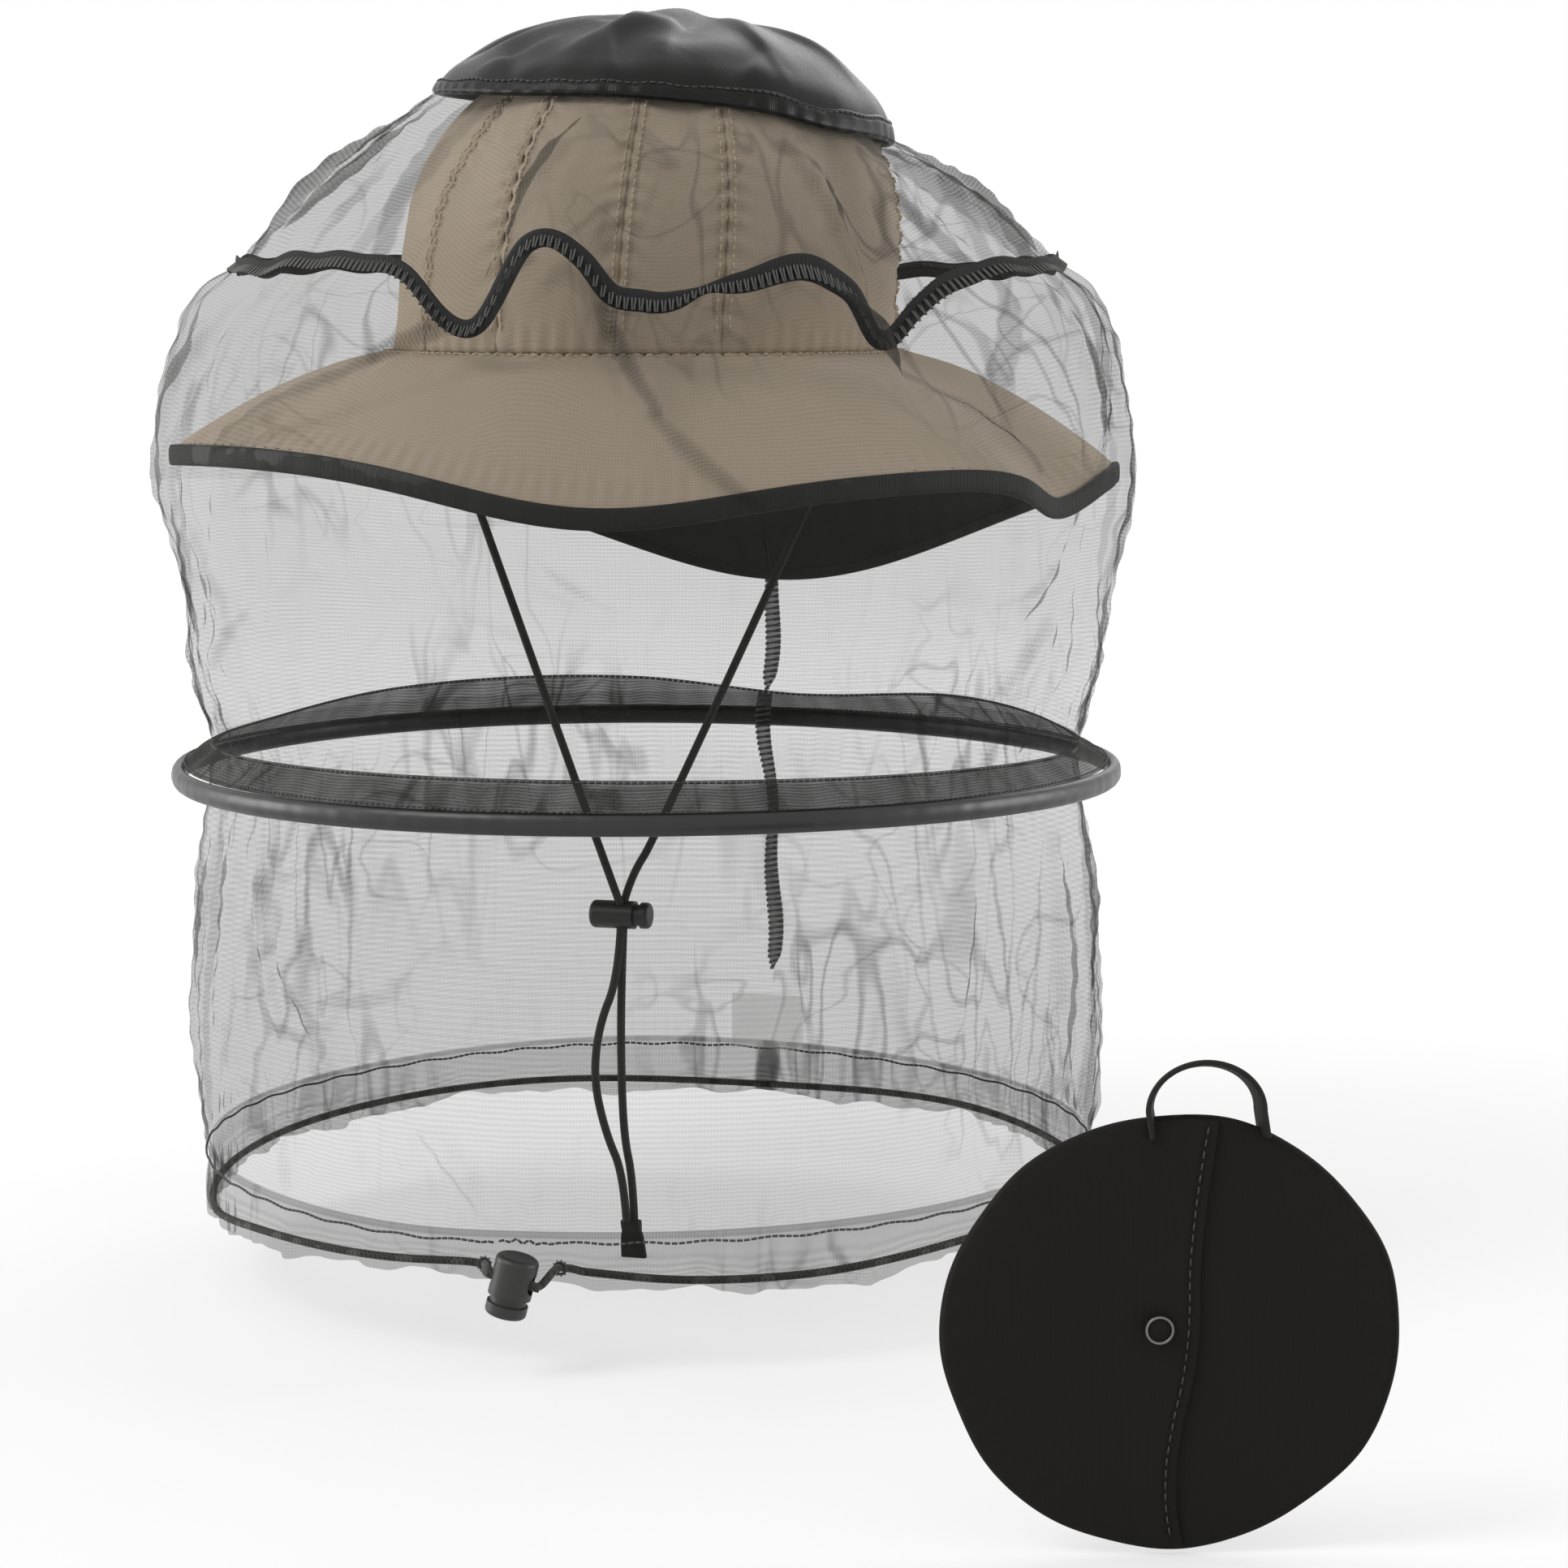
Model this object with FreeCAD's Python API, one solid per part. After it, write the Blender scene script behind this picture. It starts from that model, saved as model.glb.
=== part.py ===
import FreeCAD, Part
import math
import os

# Beekeeping veil: a fine net veil with a sprung ring and a drawcord hem, worn over a brimmed sun
# hat, with its chin cord and its stowage pouch. Millimetres, +Z up, front towards -Y, +X to the
# right seen from the front. The origin is the centre of the head opening, at the crown's base.

V = FreeCAD.Vector
UP = V(0, 0, 1)

# Hat
CROWN_HALF_WIDTH = 88.0
CROWN_HALF_LENGTH = 103.0
CROWN_HEIGHT = 115.0
CROWN_CLOTH = 2.0
CROWN_PROFILE = [(1.0, 0), (0.992, 36), (0.925, 61), (0.765, 83.5), (0.54, 101), (0.27, 111.5)]
CROWN_SEAMS = {
    "hat_crown_front_panel": (-14, 14),
    "hat_crown_front_right_panel": (14, 37),
    "hat_crown_side_right_panel": (37, 105),
    "hat_crown_back_right_panel": (105, 180),
    "hat_crown_back_left_panel": (180, 255),
    "hat_crown_side_left_panel": (255, 323),
    "hat_crown_front_left_panel": (323, 346),
}
SWEATBAND_HEIGHT = 32.0
SWEATBAND_CLOTH = 1.6
BRIM_REACH = 88.0
BRIM_BACK_REACH = 106.0
BRIM_LIMIT_RADIUS = 168.0
BRIM_TUCK = 0.24
BRIM_TUCK_HEIGHT = 50.0
BRIM_EDGE_DROP = 38.0
BRIM_DROOPS = [(50, 178, 46), (12, 14, 24), (12, 80, 10), (-6, -40, 40)]  # extra drop, front angle, spread
BRIM_TOP_CLOTH = 1.0
BRIM_STIFFENER = 1.8
BRIM_LINING_CLOTH = 0.8
BINDING_WIDTH = 2.0
BINDING_HEIGHT = 7.0
BINDING_ABOVE = 1.6

# Net veil
NET = 0.8
SHOULDER_RADIUS = 147.0
SHOULDER_HEIGHT = 29.0
PATCH_RADIUS = 81.0
PATCH_RIM_HEIGHT = 87.0
PATCH_CLOTH = 1.2
PATCH_PROFILE = [(0, 117.2), (30, 115.5), (56, 106), (72, 95.5), (PATCH_RADIUS - 2.5, 90.5)]
BACK_SEAM_ANGLE = 2.6
BACK_SEAM_CLOTH = 1.0
SEAM_GAP = 0.2
DOME_PROFILE = [(PATCH_RADIUS, 86), (93, 75), (116, 54), (137, 40), (SHOULDER_RADIUS, SHOULDER_HEIGHT)]
UPPER_PROFILE = [
    (SHOULDER_RADIUS, SHOULDER_HEIGHT - 1.5), (162, 18), (169.5, 3), (173.2, -20), (174.2, -45),
    (171, -66), (167, -85), (163, -111), (156, -137),
]
FLANGE_TOP = (156.0, -137.0)
RING_RADIUS = 168.7
RING_Z = -150.0
RING_STRIP_HEIGHT = 5.4
RING_STRIP_THICKNESS = 1.0
CASING_CLOTH = 0.6
CASING_DEPTH = 4.4
SLEEVE_HALF_DEPTH = 1.4
SLEEVE_HALF_ANGLE = 6.0
LOWER_PROFILE = [(156.2, -139), (156.5, -152), (161, -190), (163, -228), (162.5, -270), (160, -286)]
HEM_RADIUS = 159.0
HEM_TOP = -287.0
HEM_BOTTOM = -306.0
HEM_CASING_DEPTH = 4.4
HEM_CASING_WALL = 0.5
EYELET_SIDEWAYS = 13.0
EYELET_HOLE = 2.3
EYELET_RIM = 0.5
CORD_LOOP_START = 7.0
LABEL_HEIGHT = 22.0
LABEL_HALF_ANGLE = 5.5
DRAWCORD_RADIUS = 1.3
DRAWCORD_Z = -298.0
THREAD = 0.35

# Cord locks
CHIN_LOCK = V(-9.2, -2.5, -205.0)
CHIN_BARREL_RADIUS = 5.1
CHIN_BARREL_LENGTH = 16.6
CHIN_PRESS = 2.2
CHIN_SLOT = (3.6, 6.5)
CHIN_SLOT_AT = 11.6
CHIN_HEAD = 3.4
HEM_LOCK = V(0, -172.2, -299.0)
HEM_LOCK_TURN = 3.0
HEM_BARREL_RADIUS = 7.2
HEM_BARREL_LENGTH = 13.5
HEM_LOCK_TILT = 14.0
HEM_PRESS = 2.2
HEM_SLOT = (6.4, 6.4)
HEM_SLOT_AT = 8.0
HEM_HEAD = 4.2
HEM_BORE_RADIUS = 3.5
LOCK_GAP = 0.3
LOCK_WALL = 0.95
LOCK_FLOOR = 1.2
LOCK_WIRE = 0.3

# Chin cord
CHIN_CORD_RADIUS = 1.5
CHIN_ANCHOR = V(82.0, -0.5, -7.0)
CHIN_LEGS = {
    "chin_cord_left_leg": [
        V(-82, -1, -9), V(-16.5, -3.2, -184), V(-9.2, -4.05, -201.5),
    ],
    "chin_cord_right_leg": [
        V(82, 0, -9), V(3.5, -0.5, -176), V(-6.4, -0.8, -191), V(-9.2, -0.95, -201.5),
    ],
}
CHIN_TAILS = {
    "chin_cord_left_tail": [
        V(-9.2, -4.05, -208.5), V(-10.2, -4.4, -228), V(-17.5, -5.2, -246), V(-19.5, -5.8, -266),
        V(-15.0, -5.4, -286), V(-8.6, -4.4, -301), V(-7.6, -4.05, -319),
    ],
    "chin_cord_right_tail": [
        V(-9.2, -0.95, -208.5), V(-10.4, -0.6, -234), V(-10.8, 0.1, -262), V(-9.6, -0.4, -288),
        V(-6.2, -0.9, -303), V(-5.6, -0.95, -319),
    ],
}
ANCHOR_TAB = V(2.4, 9.0, 14.0)
END_TAB = V(-6.4, -2.5, -325.5)
END_TAB_SIZE = V(8.4, 4.4, 13.0)

# Pouch
POUCH_WIDTH = 131.0
POUCH_HEIGHT = 126.2
POUCH_AZIMUTH = 18.0
POUCH_CENTRE = V(248.4, -292.0, -268.5)
POUCH_EDGE_RADIUS = 2.6
POUCH_BULGE = 3.0
POUCH_CLOTH = 1.4
HANDLE_WIDTH = 33.0
HANDLE_RISE = 14.5
HANDLE_ASIDE = 8.8
HANDLE_FOOT = 4.6
HANDLE_STRAP = (8.0, 1.8)
FRONT_OVERLAP = (-6.0, 6.5)
PANEL_GAP = 0.7
SNAP_AT = (-3.9, 2.2)
SNAP_RADIUS = 4.2
SNAP_HEIGHT = 1.4
SOCKET_RADIUS = 3.8
SOCKET_HEIGHT = 0.4

os.makedirs("parts", exist_ok=True)


def save(name, *solids):
    """Write one node, whose solids are separate bodies of the same piece or of identical pieces."""
    shape = solids[0] if len(solids) == 1 else Part.makeCompound(list(solids))
    shape.exportStep(f"parts/{name}.step")
    if not shape.isValid():
        print("check", name)


def front_angle_point(degrees, radius, z):
    """Point at an angle from the front (-Y), positive towards +X."""
    a = math.radians(degrees)
    return V(radius * math.sin(a), -radius * math.cos(a), z)


def spin(face, start=0.0, end=360.0):
    """Turn a face that stands in the XZ half plane about Z, from one front angle to another."""
    turned = face.copy()
    turned.rotate(V(0, 0, 0), UP, start - 90)
    return turned.revolve(V(0, 0, 0), UP, end - start)


def polygon_face(points):
    """Face in the XZ plane through (radius, z) corners."""
    corners = [V(r, 0, z) for r, z in points]
    return Part.Face(Part.makePolygon(corners + corners[:1]))


def box_face(inner, outer, bottom, top):
    return polygon_face([(inner, bottom), (outer, bottom), (outer, top), (inner, top)])


def beside(profile, distance):
    """Profile moved square to itself, towards its right-hand side."""
    points = [V(r, 0, z) for r, z in profile]
    moved = []
    for i, p in enumerate(points):
        along = points[min(i + 1, len(points) - 1)] - points[max(i - 1, 0)]
        along.normalize()
        side = p + V(along.z, 0, -along.x) * distance
        moved.append((side.x, side.z))
    return moved


def skin_face(profile, thickness):
    """Thin face in the XZ plane: its outer edge follows the profile, its inner edge runs beside it."""
    points = [V(r, 0, z) for r, z in profile]
    inner = [V(max(r, 0), 0, z) for r, z in beside(profile, thickness)]
    edges = []
    for row in (points, inner):
        curve = Part.BSplineCurve()
        curve.interpolate(row)
        edges.append(curve.toShape())
    edges.append(Part.makeLine(points[0], inner[0]))
    edges.append(Part.makeLine(points[-1], inner[-1]))
    return Part.Face(Part.Wire(Part.__sortEdges__(edges)))


def tube_solid(points, radius):
    """Round cord along straight runs joined by tangent arcs, checked against section times length."""
    edges, here, radii = [], points[0], []
    for before, corner, after in zip(points, points[1:], points[2:]):
        a, b = before - corner, after - corner
        turn = math.pi - a.getAngle(b)
        cut = 0.45 * min(a.Length, b.Length)
        radii.append(round(cut / math.tan(turn / 2), 1))
        start = corner + a * (cut / a.Length)
        end = corner + b * (cut / b.Length)
        bisector = a / a.Length + b / b.Length
        bisector.normalize()
        bend = cut / math.tan(turn / 2)
        centre = corner + bisector * math.hypot(cut, bend)
        middle = centre - bisector * bend
        edges.append(Part.makeLine(here, start))
        edges.append(Part.Arc(start, middle, end).toShape())
        here = end
    edges.append(Part.makeLine(here, points[-1]))
    path = Part.Wire(edges)
    section = Part.Wire(Part.makeCircle(radius, points[0], points[1] - points[0]))
    solid = path.makePipeShell([section], True, True)
    share = solid.Volume / (math.pi * radius * radius * path.Length)
    print("cord length", round(path.Length, 1), "bend radii", radii, "volume share", round(share, 4))
    return solid


def ring_spline(point_at, count=48):
    """Closed smooth edge through point_at(front angle) all round."""
    curve = Part.BSplineCurve()
    curve.interpolate([point_at(360.0 * i / count) for i in range(count)], PeriodicFlag=True)
    return curve.toShape()


def shell_between(rings):
    """Closed solid whose faces are ruled between each ring and the next, the last back to the first."""
    faces = [Part.makeRuledSurface(a, b) for a, b in zip(rings, rings[1:] + rings[:1])]
    shell = Part.makeShell(faces)
    shell.sewShape()
    solid = Part.makeSolid(shell)
    if solid.Volume < 0:
        solid.reverse()
    return solid


def oval_point(degrees, scale, z, grow=0.0):
    """Point on the head's oval, scaled, at a true front angle."""
    a = math.radians(degrees)
    return V(
        (CROWN_HALF_WIDTH * scale + grow) * math.sin(a),
        -(CROWN_HALF_LENGTH * scale + grow) * math.cos(a),
        z,
    )


def squeeze_to_oval(shape):
    """Turn a round shape of the head's half length into the head's oval."""
    matrix = FreeCAD.Matrix()
    matrix.scale(CROWN_HALF_WIDTH / CROWN_HALF_LENGTH, 1, 1)
    return shape.transformGeometry(matrix)


def bump(degrees, centre, spread):
    away = (degrees - centre + 180) % 360 - 180
    return math.exp(-((away / spread) ** 2))


def brim_edge_height(degrees):
    """The brim droops all round, most at the back, more at the front and right, and least at the left."""
    return -BRIM_EDGE_DROP - sum(drop * bump(degrees, centre, spread) for drop, centre, spread in BRIM_DROOPS)


def brim_point(degrees, share, drop, grow=0.0):
    """Point on the brim, share 0 at the crown's base and 1 at the edge, drop below its top face."""
    start = oval_point(degrees, 1.0, 0)
    reach = BRIM_REACH + (BRIM_BACK_REACH - BRIM_REACH) * bump(degrees, 180, 60)
    low = brim_edge_height(degrees)
    base = math.hypot(start.x, start.y)
    limit = BRIM_LIMIT_RADIUS + BRIM_TUCK * min(low + BRIM_TUCK_HEIGHT, 0)
    edge = min(base + math.sqrt(reach**2 - low**2), limit)
    radius = base + (edge - base) * share
    sag = low * (0.35 * share + 0.65 * share**2)
    return V(start.x * (radius + grow) / base, start.y * (radius + grow) / base, sag - drop)


def brim_layer(top_drop, thickness, outer_share=1.0):
    shares = [0.0, outer_share / 3, 2 * outer_share / 3, outer_share]
    upper = [ring_spline(lambda d, s=s: brim_point(d, s, top_drop)) for s in shares]
    lower = [ring_spline(lambda d, s=s: brim_point(d, s, top_drop + thickness)) for s in shares[::-1]]
    return shell_between(upper + lower)


# Hat crown: seven gores, a sweatband inside


def crown_face(outer_scale, cloth, profile, top):
    edges_out = [V(CROWN_HALF_LENGTH * s * outer_scale, 0, z) for s, z in profile] + [V(0, 0, top)]
    edges_in = [V(max(p.x - cloth, 0), 0, p.z) for p in edges_out[:3]]
    edges_in += [V(max(p.x - cloth * 0.7, 0), 0, p.z - cloth * 0.7) for p in edges_out[3:-1]]
    edges_in.append(V(0, 0, top - cloth))
    lines = []
    for row in (edges_out, edges_in):
        curve = Part.BSplineCurve()
        curve.interpolate(row)
        lines.append(curve.toShape())
    lines.append(Part.makeLine(edges_out[0], edges_in[0]))
    lines.append(Part.makeLine(edges_out[-1], edges_in[-1]))
    return Part.Face(Part.Wire(Part.__sortEdges__(lines)))


def make_hat():
    gore = crown_face(1.0, CROWN_CLOTH, CROWN_PROFILE, CROWN_HEIGHT)
    for name, (start, end) in CROWN_SEAMS.items():
        save(name, squeeze_to_oval(spin(gore, start, end)))
    band_outer = CROWN_HALF_LENGTH - CROWN_CLOTH
    band = box_face(band_outer - SWEATBAND_CLOTH, band_outer - 0.4, 0.5, SWEATBAND_HEIGHT)
    save("hat_sweatband", squeeze_to_oval(spin(band)))
    drop = 0.0
    for name, cloth in (
        ("hat_brim_top", BRIM_TOP_CLOTH),
        ("hat_brim_stiffener", BRIM_STIFFENER),
        ("hat_brim_lining", BRIM_LINING_CLOTH),
    ):
        save(name, brim_layer(drop, cloth))
        drop += cloth
    below = BINDING_HEIGHT - BINDING_ABOVE
    rings = [
        ring_spline(lambda d: brim_point(d, 1.0, -BINDING_ABOVE)),
        ring_spline(lambda d: brim_point(d, 1.0, -BINDING_ABOVE, BINDING_WIDTH)),
        ring_spline(lambda d: brim_point(d, 1.0, below, BINDING_WIDTH)),
        ring_spline(lambda d: brim_point(d, 1.0, below)),
    ]
    save("hat_brim_binding", shell_between(rings))


# Veil above the ring


def back_seam(profile):
    """Overlocked seam down the back, on the inside of a wall of net."""
    inside = beside(profile, NET + SEAM_GAP)
    half = BACK_SEAM_ANGLE / 2
    return spin(skin_face(inside, BACK_SEAM_CLOTH), 180 - half, 180 + half)


def make_upper_veil():
    patch = skin_face(PATCH_PROFILE, PATCH_CLOTH)
    save("veil_crown_patch", spin(patch))
    hem = polygon_face(
        [
            (PATCH_RADIUS - 2.5, 90.6),
            (PATCH_RADIUS + 1.2, PATCH_RIM_HEIGHT - 3.5),
            (PATCH_RADIUS - 0.6, PATCH_RIM_HEIGHT - 4.2),
            (PATCH_RADIUS - 3.6, 89.2),
        ]
    )
    save("veil_crown_patch_hem", spin(hem.cut(patch).Faces[0]))
    dome = [(r + 1.3, z - 0.6) for r, z in DOME_PROFILE]
    dome[-1] = (SHOULDER_RADIUS - 0.4, SHOULDER_HEIGHT + 0.3)
    dome_face = skin_face(dome, NET)
    save("veil_dome_net", spin(dome_face))
    band = polygon_face(
        [
            (SHOULDER_RADIUS - 1.5, SHOULDER_HEIGHT - 2.2),
            (SHOULDER_RADIUS + 0.3, SHOULDER_HEIGHT - 1.0),
            (SHOULDER_RADIUS + 3.2, SHOULDER_HEIGHT + 3.6),
            (SHOULDER_RADIUS + 1.2, SHOULDER_HEIGHT + 4.6),
        ]
    )
    save("veil_shoulder_seam", spin(band.cut(dome_face).Faces[0]))
    save("veil_upper_net", spin(skin_face(UPPER_PROFILE, NET)))
    save("veil_back_seam_upper", back_seam(UPPER_PROFILE))


# Ring


def make_ring():
    half = RING_STRIP_HEIGHT / 2
    r = RING_RADIUS
    deep = CASING_DEPTH / 2
    outer = box_face(r - deep, r + deep, RING_Z - half - 1.0, RING_Z + half + 1.0)
    cavity = box_face(
        r - deep + CASING_CLOTH, r + deep - CASING_CLOTH, RING_Z - half - 0.4, RING_Z + half + 0.4
    )
    save("ring_casing_tape", spin(outer.cut(cavity).Faces[0]))
    strip = box_face(
        r - RING_STRIP_THICKNESS / 2, r + RING_STRIP_THICKNESS / 2, RING_Z - half, RING_Z + half
    )
    save("spring_ring", spin(strip))
    sleeve = box_face(
        r - SLEEVE_HALF_DEPTH, r + SLEEVE_HALF_DEPTH, RING_Z - half - 0.35, RING_Z + half + 0.35
    ).cut(strip)
    save("ring_joint_sleeve", spin(sleeve.Faces[0], 180 - SLEEVE_HALF_ANGLE, 180 + SLEEVE_HALF_ANGLE))
    foot = (r - deep, RING_Z + half + 0.6)
    flange = polygon_face(
        [FLANGE_TOP, foot, (foot[0], foot[1] - 1.4), (FLANGE_TOP[0] - 0.4, FLANGE_TOP[1] - 1.4)]
    )
    save("ring_flange_net", spin(flange))
    save("ring_stitching", Part.makeTorus(FLANGE_TOP[0] + 0.6, THREAD, V(0, 0, FLANGE_TOP[1] + 0.3)))


# Veil below the ring


def make_lower_veil():
    save("veil_lower_net", spin(skin_face(LOWER_PROFILE, NET)))
    save("veil_back_seam_lower", back_seam(LOWER_PROFILE))
    label = box_face(HEM_RADIUS - 3.6, HEM_RADIUS - 3.1, HEM_TOP + 4, HEM_TOP + 4 + LABEL_HEIGHT)
    save("care_label", spin(label, 180 - LABEL_HALF_ANGLE, 180 + LABEL_HALF_ANGLE))


def turned_to_lock(*shapes):
    """Turn what is built at the front of the hem round to the hem lock."""
    for shape in shapes:
        shape.rotate(V(0, 0, 0), UP, HEM_LOCK_TURN)
    return shapes


def make_hem():
    half = HEM_CASING_DEPTH / 2
    wall = HEM_CASING_WALL
    outer = box_face(HEM_RADIUS - half, HEM_RADIUS + half, HEM_BOTTOM, HEM_TOP)
    cavity = box_face(
        HEM_RADIUS - half + wall, HEM_RADIUS + half - wall, HEM_BOTTOM + wall, HEM_TOP - wall
    )
    casing = spin(outer.cut(cavity).Faces[0])
    eyelets = []
    for side in (-1, 1):
        place = V(side * EYELET_SIDEWAYS, -(HEM_RADIUS + half) - 3, DRAWCORD_Z + 1)
        casing = casing.cut(Part.makeCylinder(EYELET_HOLE, 6, place, V(0, 1, 0)))
        rim = place + V(0, 3 - 0.6, 0)
        eyelets.append(Part.makeTorus(EYELET_HOLE + EYELET_RIM + 0.1, EYELET_RIM, rim, V(0, 1, 0)))
    stitching = HEM_RADIUS + half + THREAD + 0.1
    save("hem_stitching", Part.makeTorus(stitching, THREAD, V(0, 0, HEM_TOP - 1.6)))
    circle = Part.makeCircle(DRAWCORD_RADIUS, V(HEM_RADIUS, 0, DRAWCORD_Z), V(0, 1, 0))
    loop = spin(Part.Face(Part.Wire(circle)), CORD_LOOP_START, 360 - CORD_LOOP_START)
    tilt = math.radians(HEM_LOCK_TILT)
    bore = V(math.cos(tilt), 0, -math.sin(tilt))
    ends = []
    for side, lane in ((-1, -1.4), (1, 1.4)):
        start = front_angle_point(side * CORD_LOOP_START, HEM_RADIUS, DRAWCORD_Z)
        middle = HEM_LOCK + V(0, lane, 0)
        ends.append(
            tube_solid(
                [
                    start,
                    V(side * (EYELET_SIDEWAYS + 2), start.y - 1.1, DRAWCORD_Z + 0.5),
                    V(side * (EYELET_SIDEWAYS - 1), -(HEM_RADIUS + half) - 2.2, DRAWCORD_Z + 1),
                    middle + bore * (side * 8.8),
                    middle - bore * (side * 9.5),
                ],
                DRAWCORD_RADIUS,
            )
        )
    for end in ends:
        casing = casing.cut(end)
        eyelets = [rim.cut(end) for rim in eyelets]
    save("hem_casing", *turned_to_lock(casing))
    save("hem_eyelets", *turned_to_lock(*eyelets))
    save("hem_drawcord", *turned_to_lock(loop, *ends))


# Cord locks


def domed_barrel(radius, length, rounding):
    """Barrel along +Z from the origin, rounded at its closed lower end."""
    body = Part.makeCylinder(radius, length)
    bottom = [e for e in body.Edges if abs(e.BoundBox.ZMax) < 1e-6 and abs(e.BoundBox.ZMin) < 1e-6]
    return body.makeFillet(rounding, bottom)


def coil_spring(radius, wire, height, turns):
    helix = Part.makeHelix(height / turns, height, radius)
    section = Part.Wire(Part.makeCircle(wire, V(radius, 0, 0), V(0, 1, 0)))
    return Part.Wire(helix).makePipeShell([section], True, True)


def lock_parts(radius, length, press, slot, slot_at, head, hole):
    """Barrel lock along +Z, closed end at the origin: body, plunger and spring. The hole runs along X."""
    slot_wide, slot_deep = slot
    bore = radius - LOCK_WALL
    body = domed_barrel(radius, length, 1.8).cut(Part.makeCylinder(bore, length, V(0, 0, LOCK_FLOOR)))
    body = body.cut(hole)
    shaft_low = max(slot_at - slot_wide / 2 - 1.6, LOCK_FLOOR + press + LOCK_GAP)
    head_low = length + press + LOCK_GAP
    plunger = Part.makeCylinder(bore - 0.25, head_low - shaft_low, V(0, 0, shaft_low))
    cap = Part.makeCylinder(radius - 0.3, head, V(0, 0, head_low))
    top = [e for e in cap.Edges if e.BoundBox.ZMin > head_low + head - 1e-6]
    plunger = plunger.fuse(cap.makeFillet(min(1.4, head * 0.45), top)).removeSplitter()
    window = Part.makeBox(
        4 * radius, slot_deep, slot_wide + press,
        V(-2 * radius, -slot_deep / 2, slot_at - slot_wide / 2),
    )
    plunger = plunger.cut(window)
    spring = coil_spring(bore * 0.6, LOCK_WIRE, shaft_low - LOCK_FLOOR - 3 * LOCK_WIRE, 2.5)
    spring.translate(V(0, 0, LOCK_FLOOR + LOCK_WIRE + 0.1))
    return body, plunger, spring


def slot_hole(wide, deep, at):
    """Square-cornered hole right through a lock, along X."""
    return Part.makeBox(40, deep, wide, V(-20, -deep / 2, at - wide / 2))


def round_hole(radius, at):
    """Round hole right through a lock, along X."""
    return Part.makeCylinder(radius, 40, V(-20, 0, at), V(1, 0, 0))


def place_lock(shapes, centre, slot_at, turns):
    """Move the lock so that its slot's middle lies on centre, after the given turns about the origin."""
    for shape in shapes:
        shape.translate(V(0, 0, -slot_at))
        for axis, degrees in turns:
            shape.rotate(V(0, 0, 0), axis, degrees)
        shape.translate(centre)
    return shapes


def make_chin_lock():
    hole = slot_hole(*CHIN_SLOT, CHIN_SLOT_AT)
    size = (CHIN_BARREL_RADIUS, CHIN_BARREL_LENGTH, CHIN_PRESS)
    shapes = lock_parts(*size, CHIN_SLOT, CHIN_SLOT_AT, CHIN_HEAD, hole)
    body, plunger, spring = place_lock(shapes, CHIN_LOCK, CHIN_SLOT_AT, [(V(0, 1, 0), 90)])
    for route in CHIN_LEGS.values():
        body = body.cut(tube_solid(route, CHIN_CORD_RADIUS))
    save("chin_lock_body", body)
    save("chin_lock_plunger", plunger)
    save("chin_lock_spring", spring)


def make_hem_lock():
    hole = round_hole(HEM_BORE_RADIUS, HEM_SLOT_AT)
    size = (HEM_BARREL_RADIUS, HEM_BARREL_LENGTH, HEM_PRESS)
    shapes = lock_parts(*size, HEM_SLOT, HEM_SLOT_AT, HEM_HEAD, hole)
    turns = [(V(1, 0, 0), 180), (V(0, 1, 0), HEM_LOCK_TILT)]
    body, plunger, spring = turned_to_lock(*place_lock(shapes, HEM_LOCK, HEM_SLOT_AT, turns))
    save("hem_lock_body", body)
    save("hem_lock_plunger", plunger)
    save("hem_lock_spring", spring)


# Chin cord


def make_chin_cord():
    for name, route in {**CHIN_LEGS, **CHIN_TAILS}.items():
        save(name, tube_solid(route, CHIN_CORD_RADIUS))
    for name, side in (("chin_cord_anchor_left", -1), ("chin_cord_anchor_right", 1)):
        middle = V(side * CHIN_ANCHOR.x, CHIN_ANCHOR.y, CHIN_ANCHOR.z - 2)
        tab = Part.makeBox(*ANCHOR_TAB, middle - V(ANCHOR_TAB.x / 2, ANCHOR_TAB.y / 2, 0))
        for route in CHIN_LEGS.values():
            tab = tab.cut(tube_solid(route, CHIN_CORD_RADIUS))
        save(name, tab)
    tab = Part.makeBox(*END_TAB_SIZE, END_TAB - END_TAB_SIZE / 2)
    uprights = [e for e in tab.Edges if e.BoundBox.ZLength > 12]
    save("chin_cord_end_tab", tab.makeFillet(1.2, uprights))


# Pouch, built facing -Y about its own centre and then turned and placed


def place_pouch(*shapes):
    for shape in shapes:
        shape.rotate(V(0, 0, 0), UP, POUCH_AZIMUTH)
        shape.translate(POUCH_CENTRE)
    return shapes


def pouch_dome(inset, bulge, side):
    """Shallow domed disc in the XZ plane, bulging towards -Y for side 1 and towards +Y for side -1."""
    radius = ((POUCH_WIDTH / 2 - inset) ** 2 + bulge**2) / (2 * bulge)
    ball = Part.makeSphere(radius, V(0, side * (radius - bulge), 0))
    height = (POUCH_HEIGHT / 2 - inset) / (POUCH_WIDTH / 2 - inset)
    matrix = FreeCAD.Matrix()
    matrix.scale(1, 1, height)
    slab = Part.makeBox(POUCH_WIDTH, bulge + 2, POUCH_WIDTH, V(-POUCH_WIDTH / 2, 0, -POUCH_WIDTH / 2))
    slab.translate(V(0, -(bulge + 2) if side > 0 else 0, 0))
    return ball.common(slab).transformGeometry(matrix)


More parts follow.
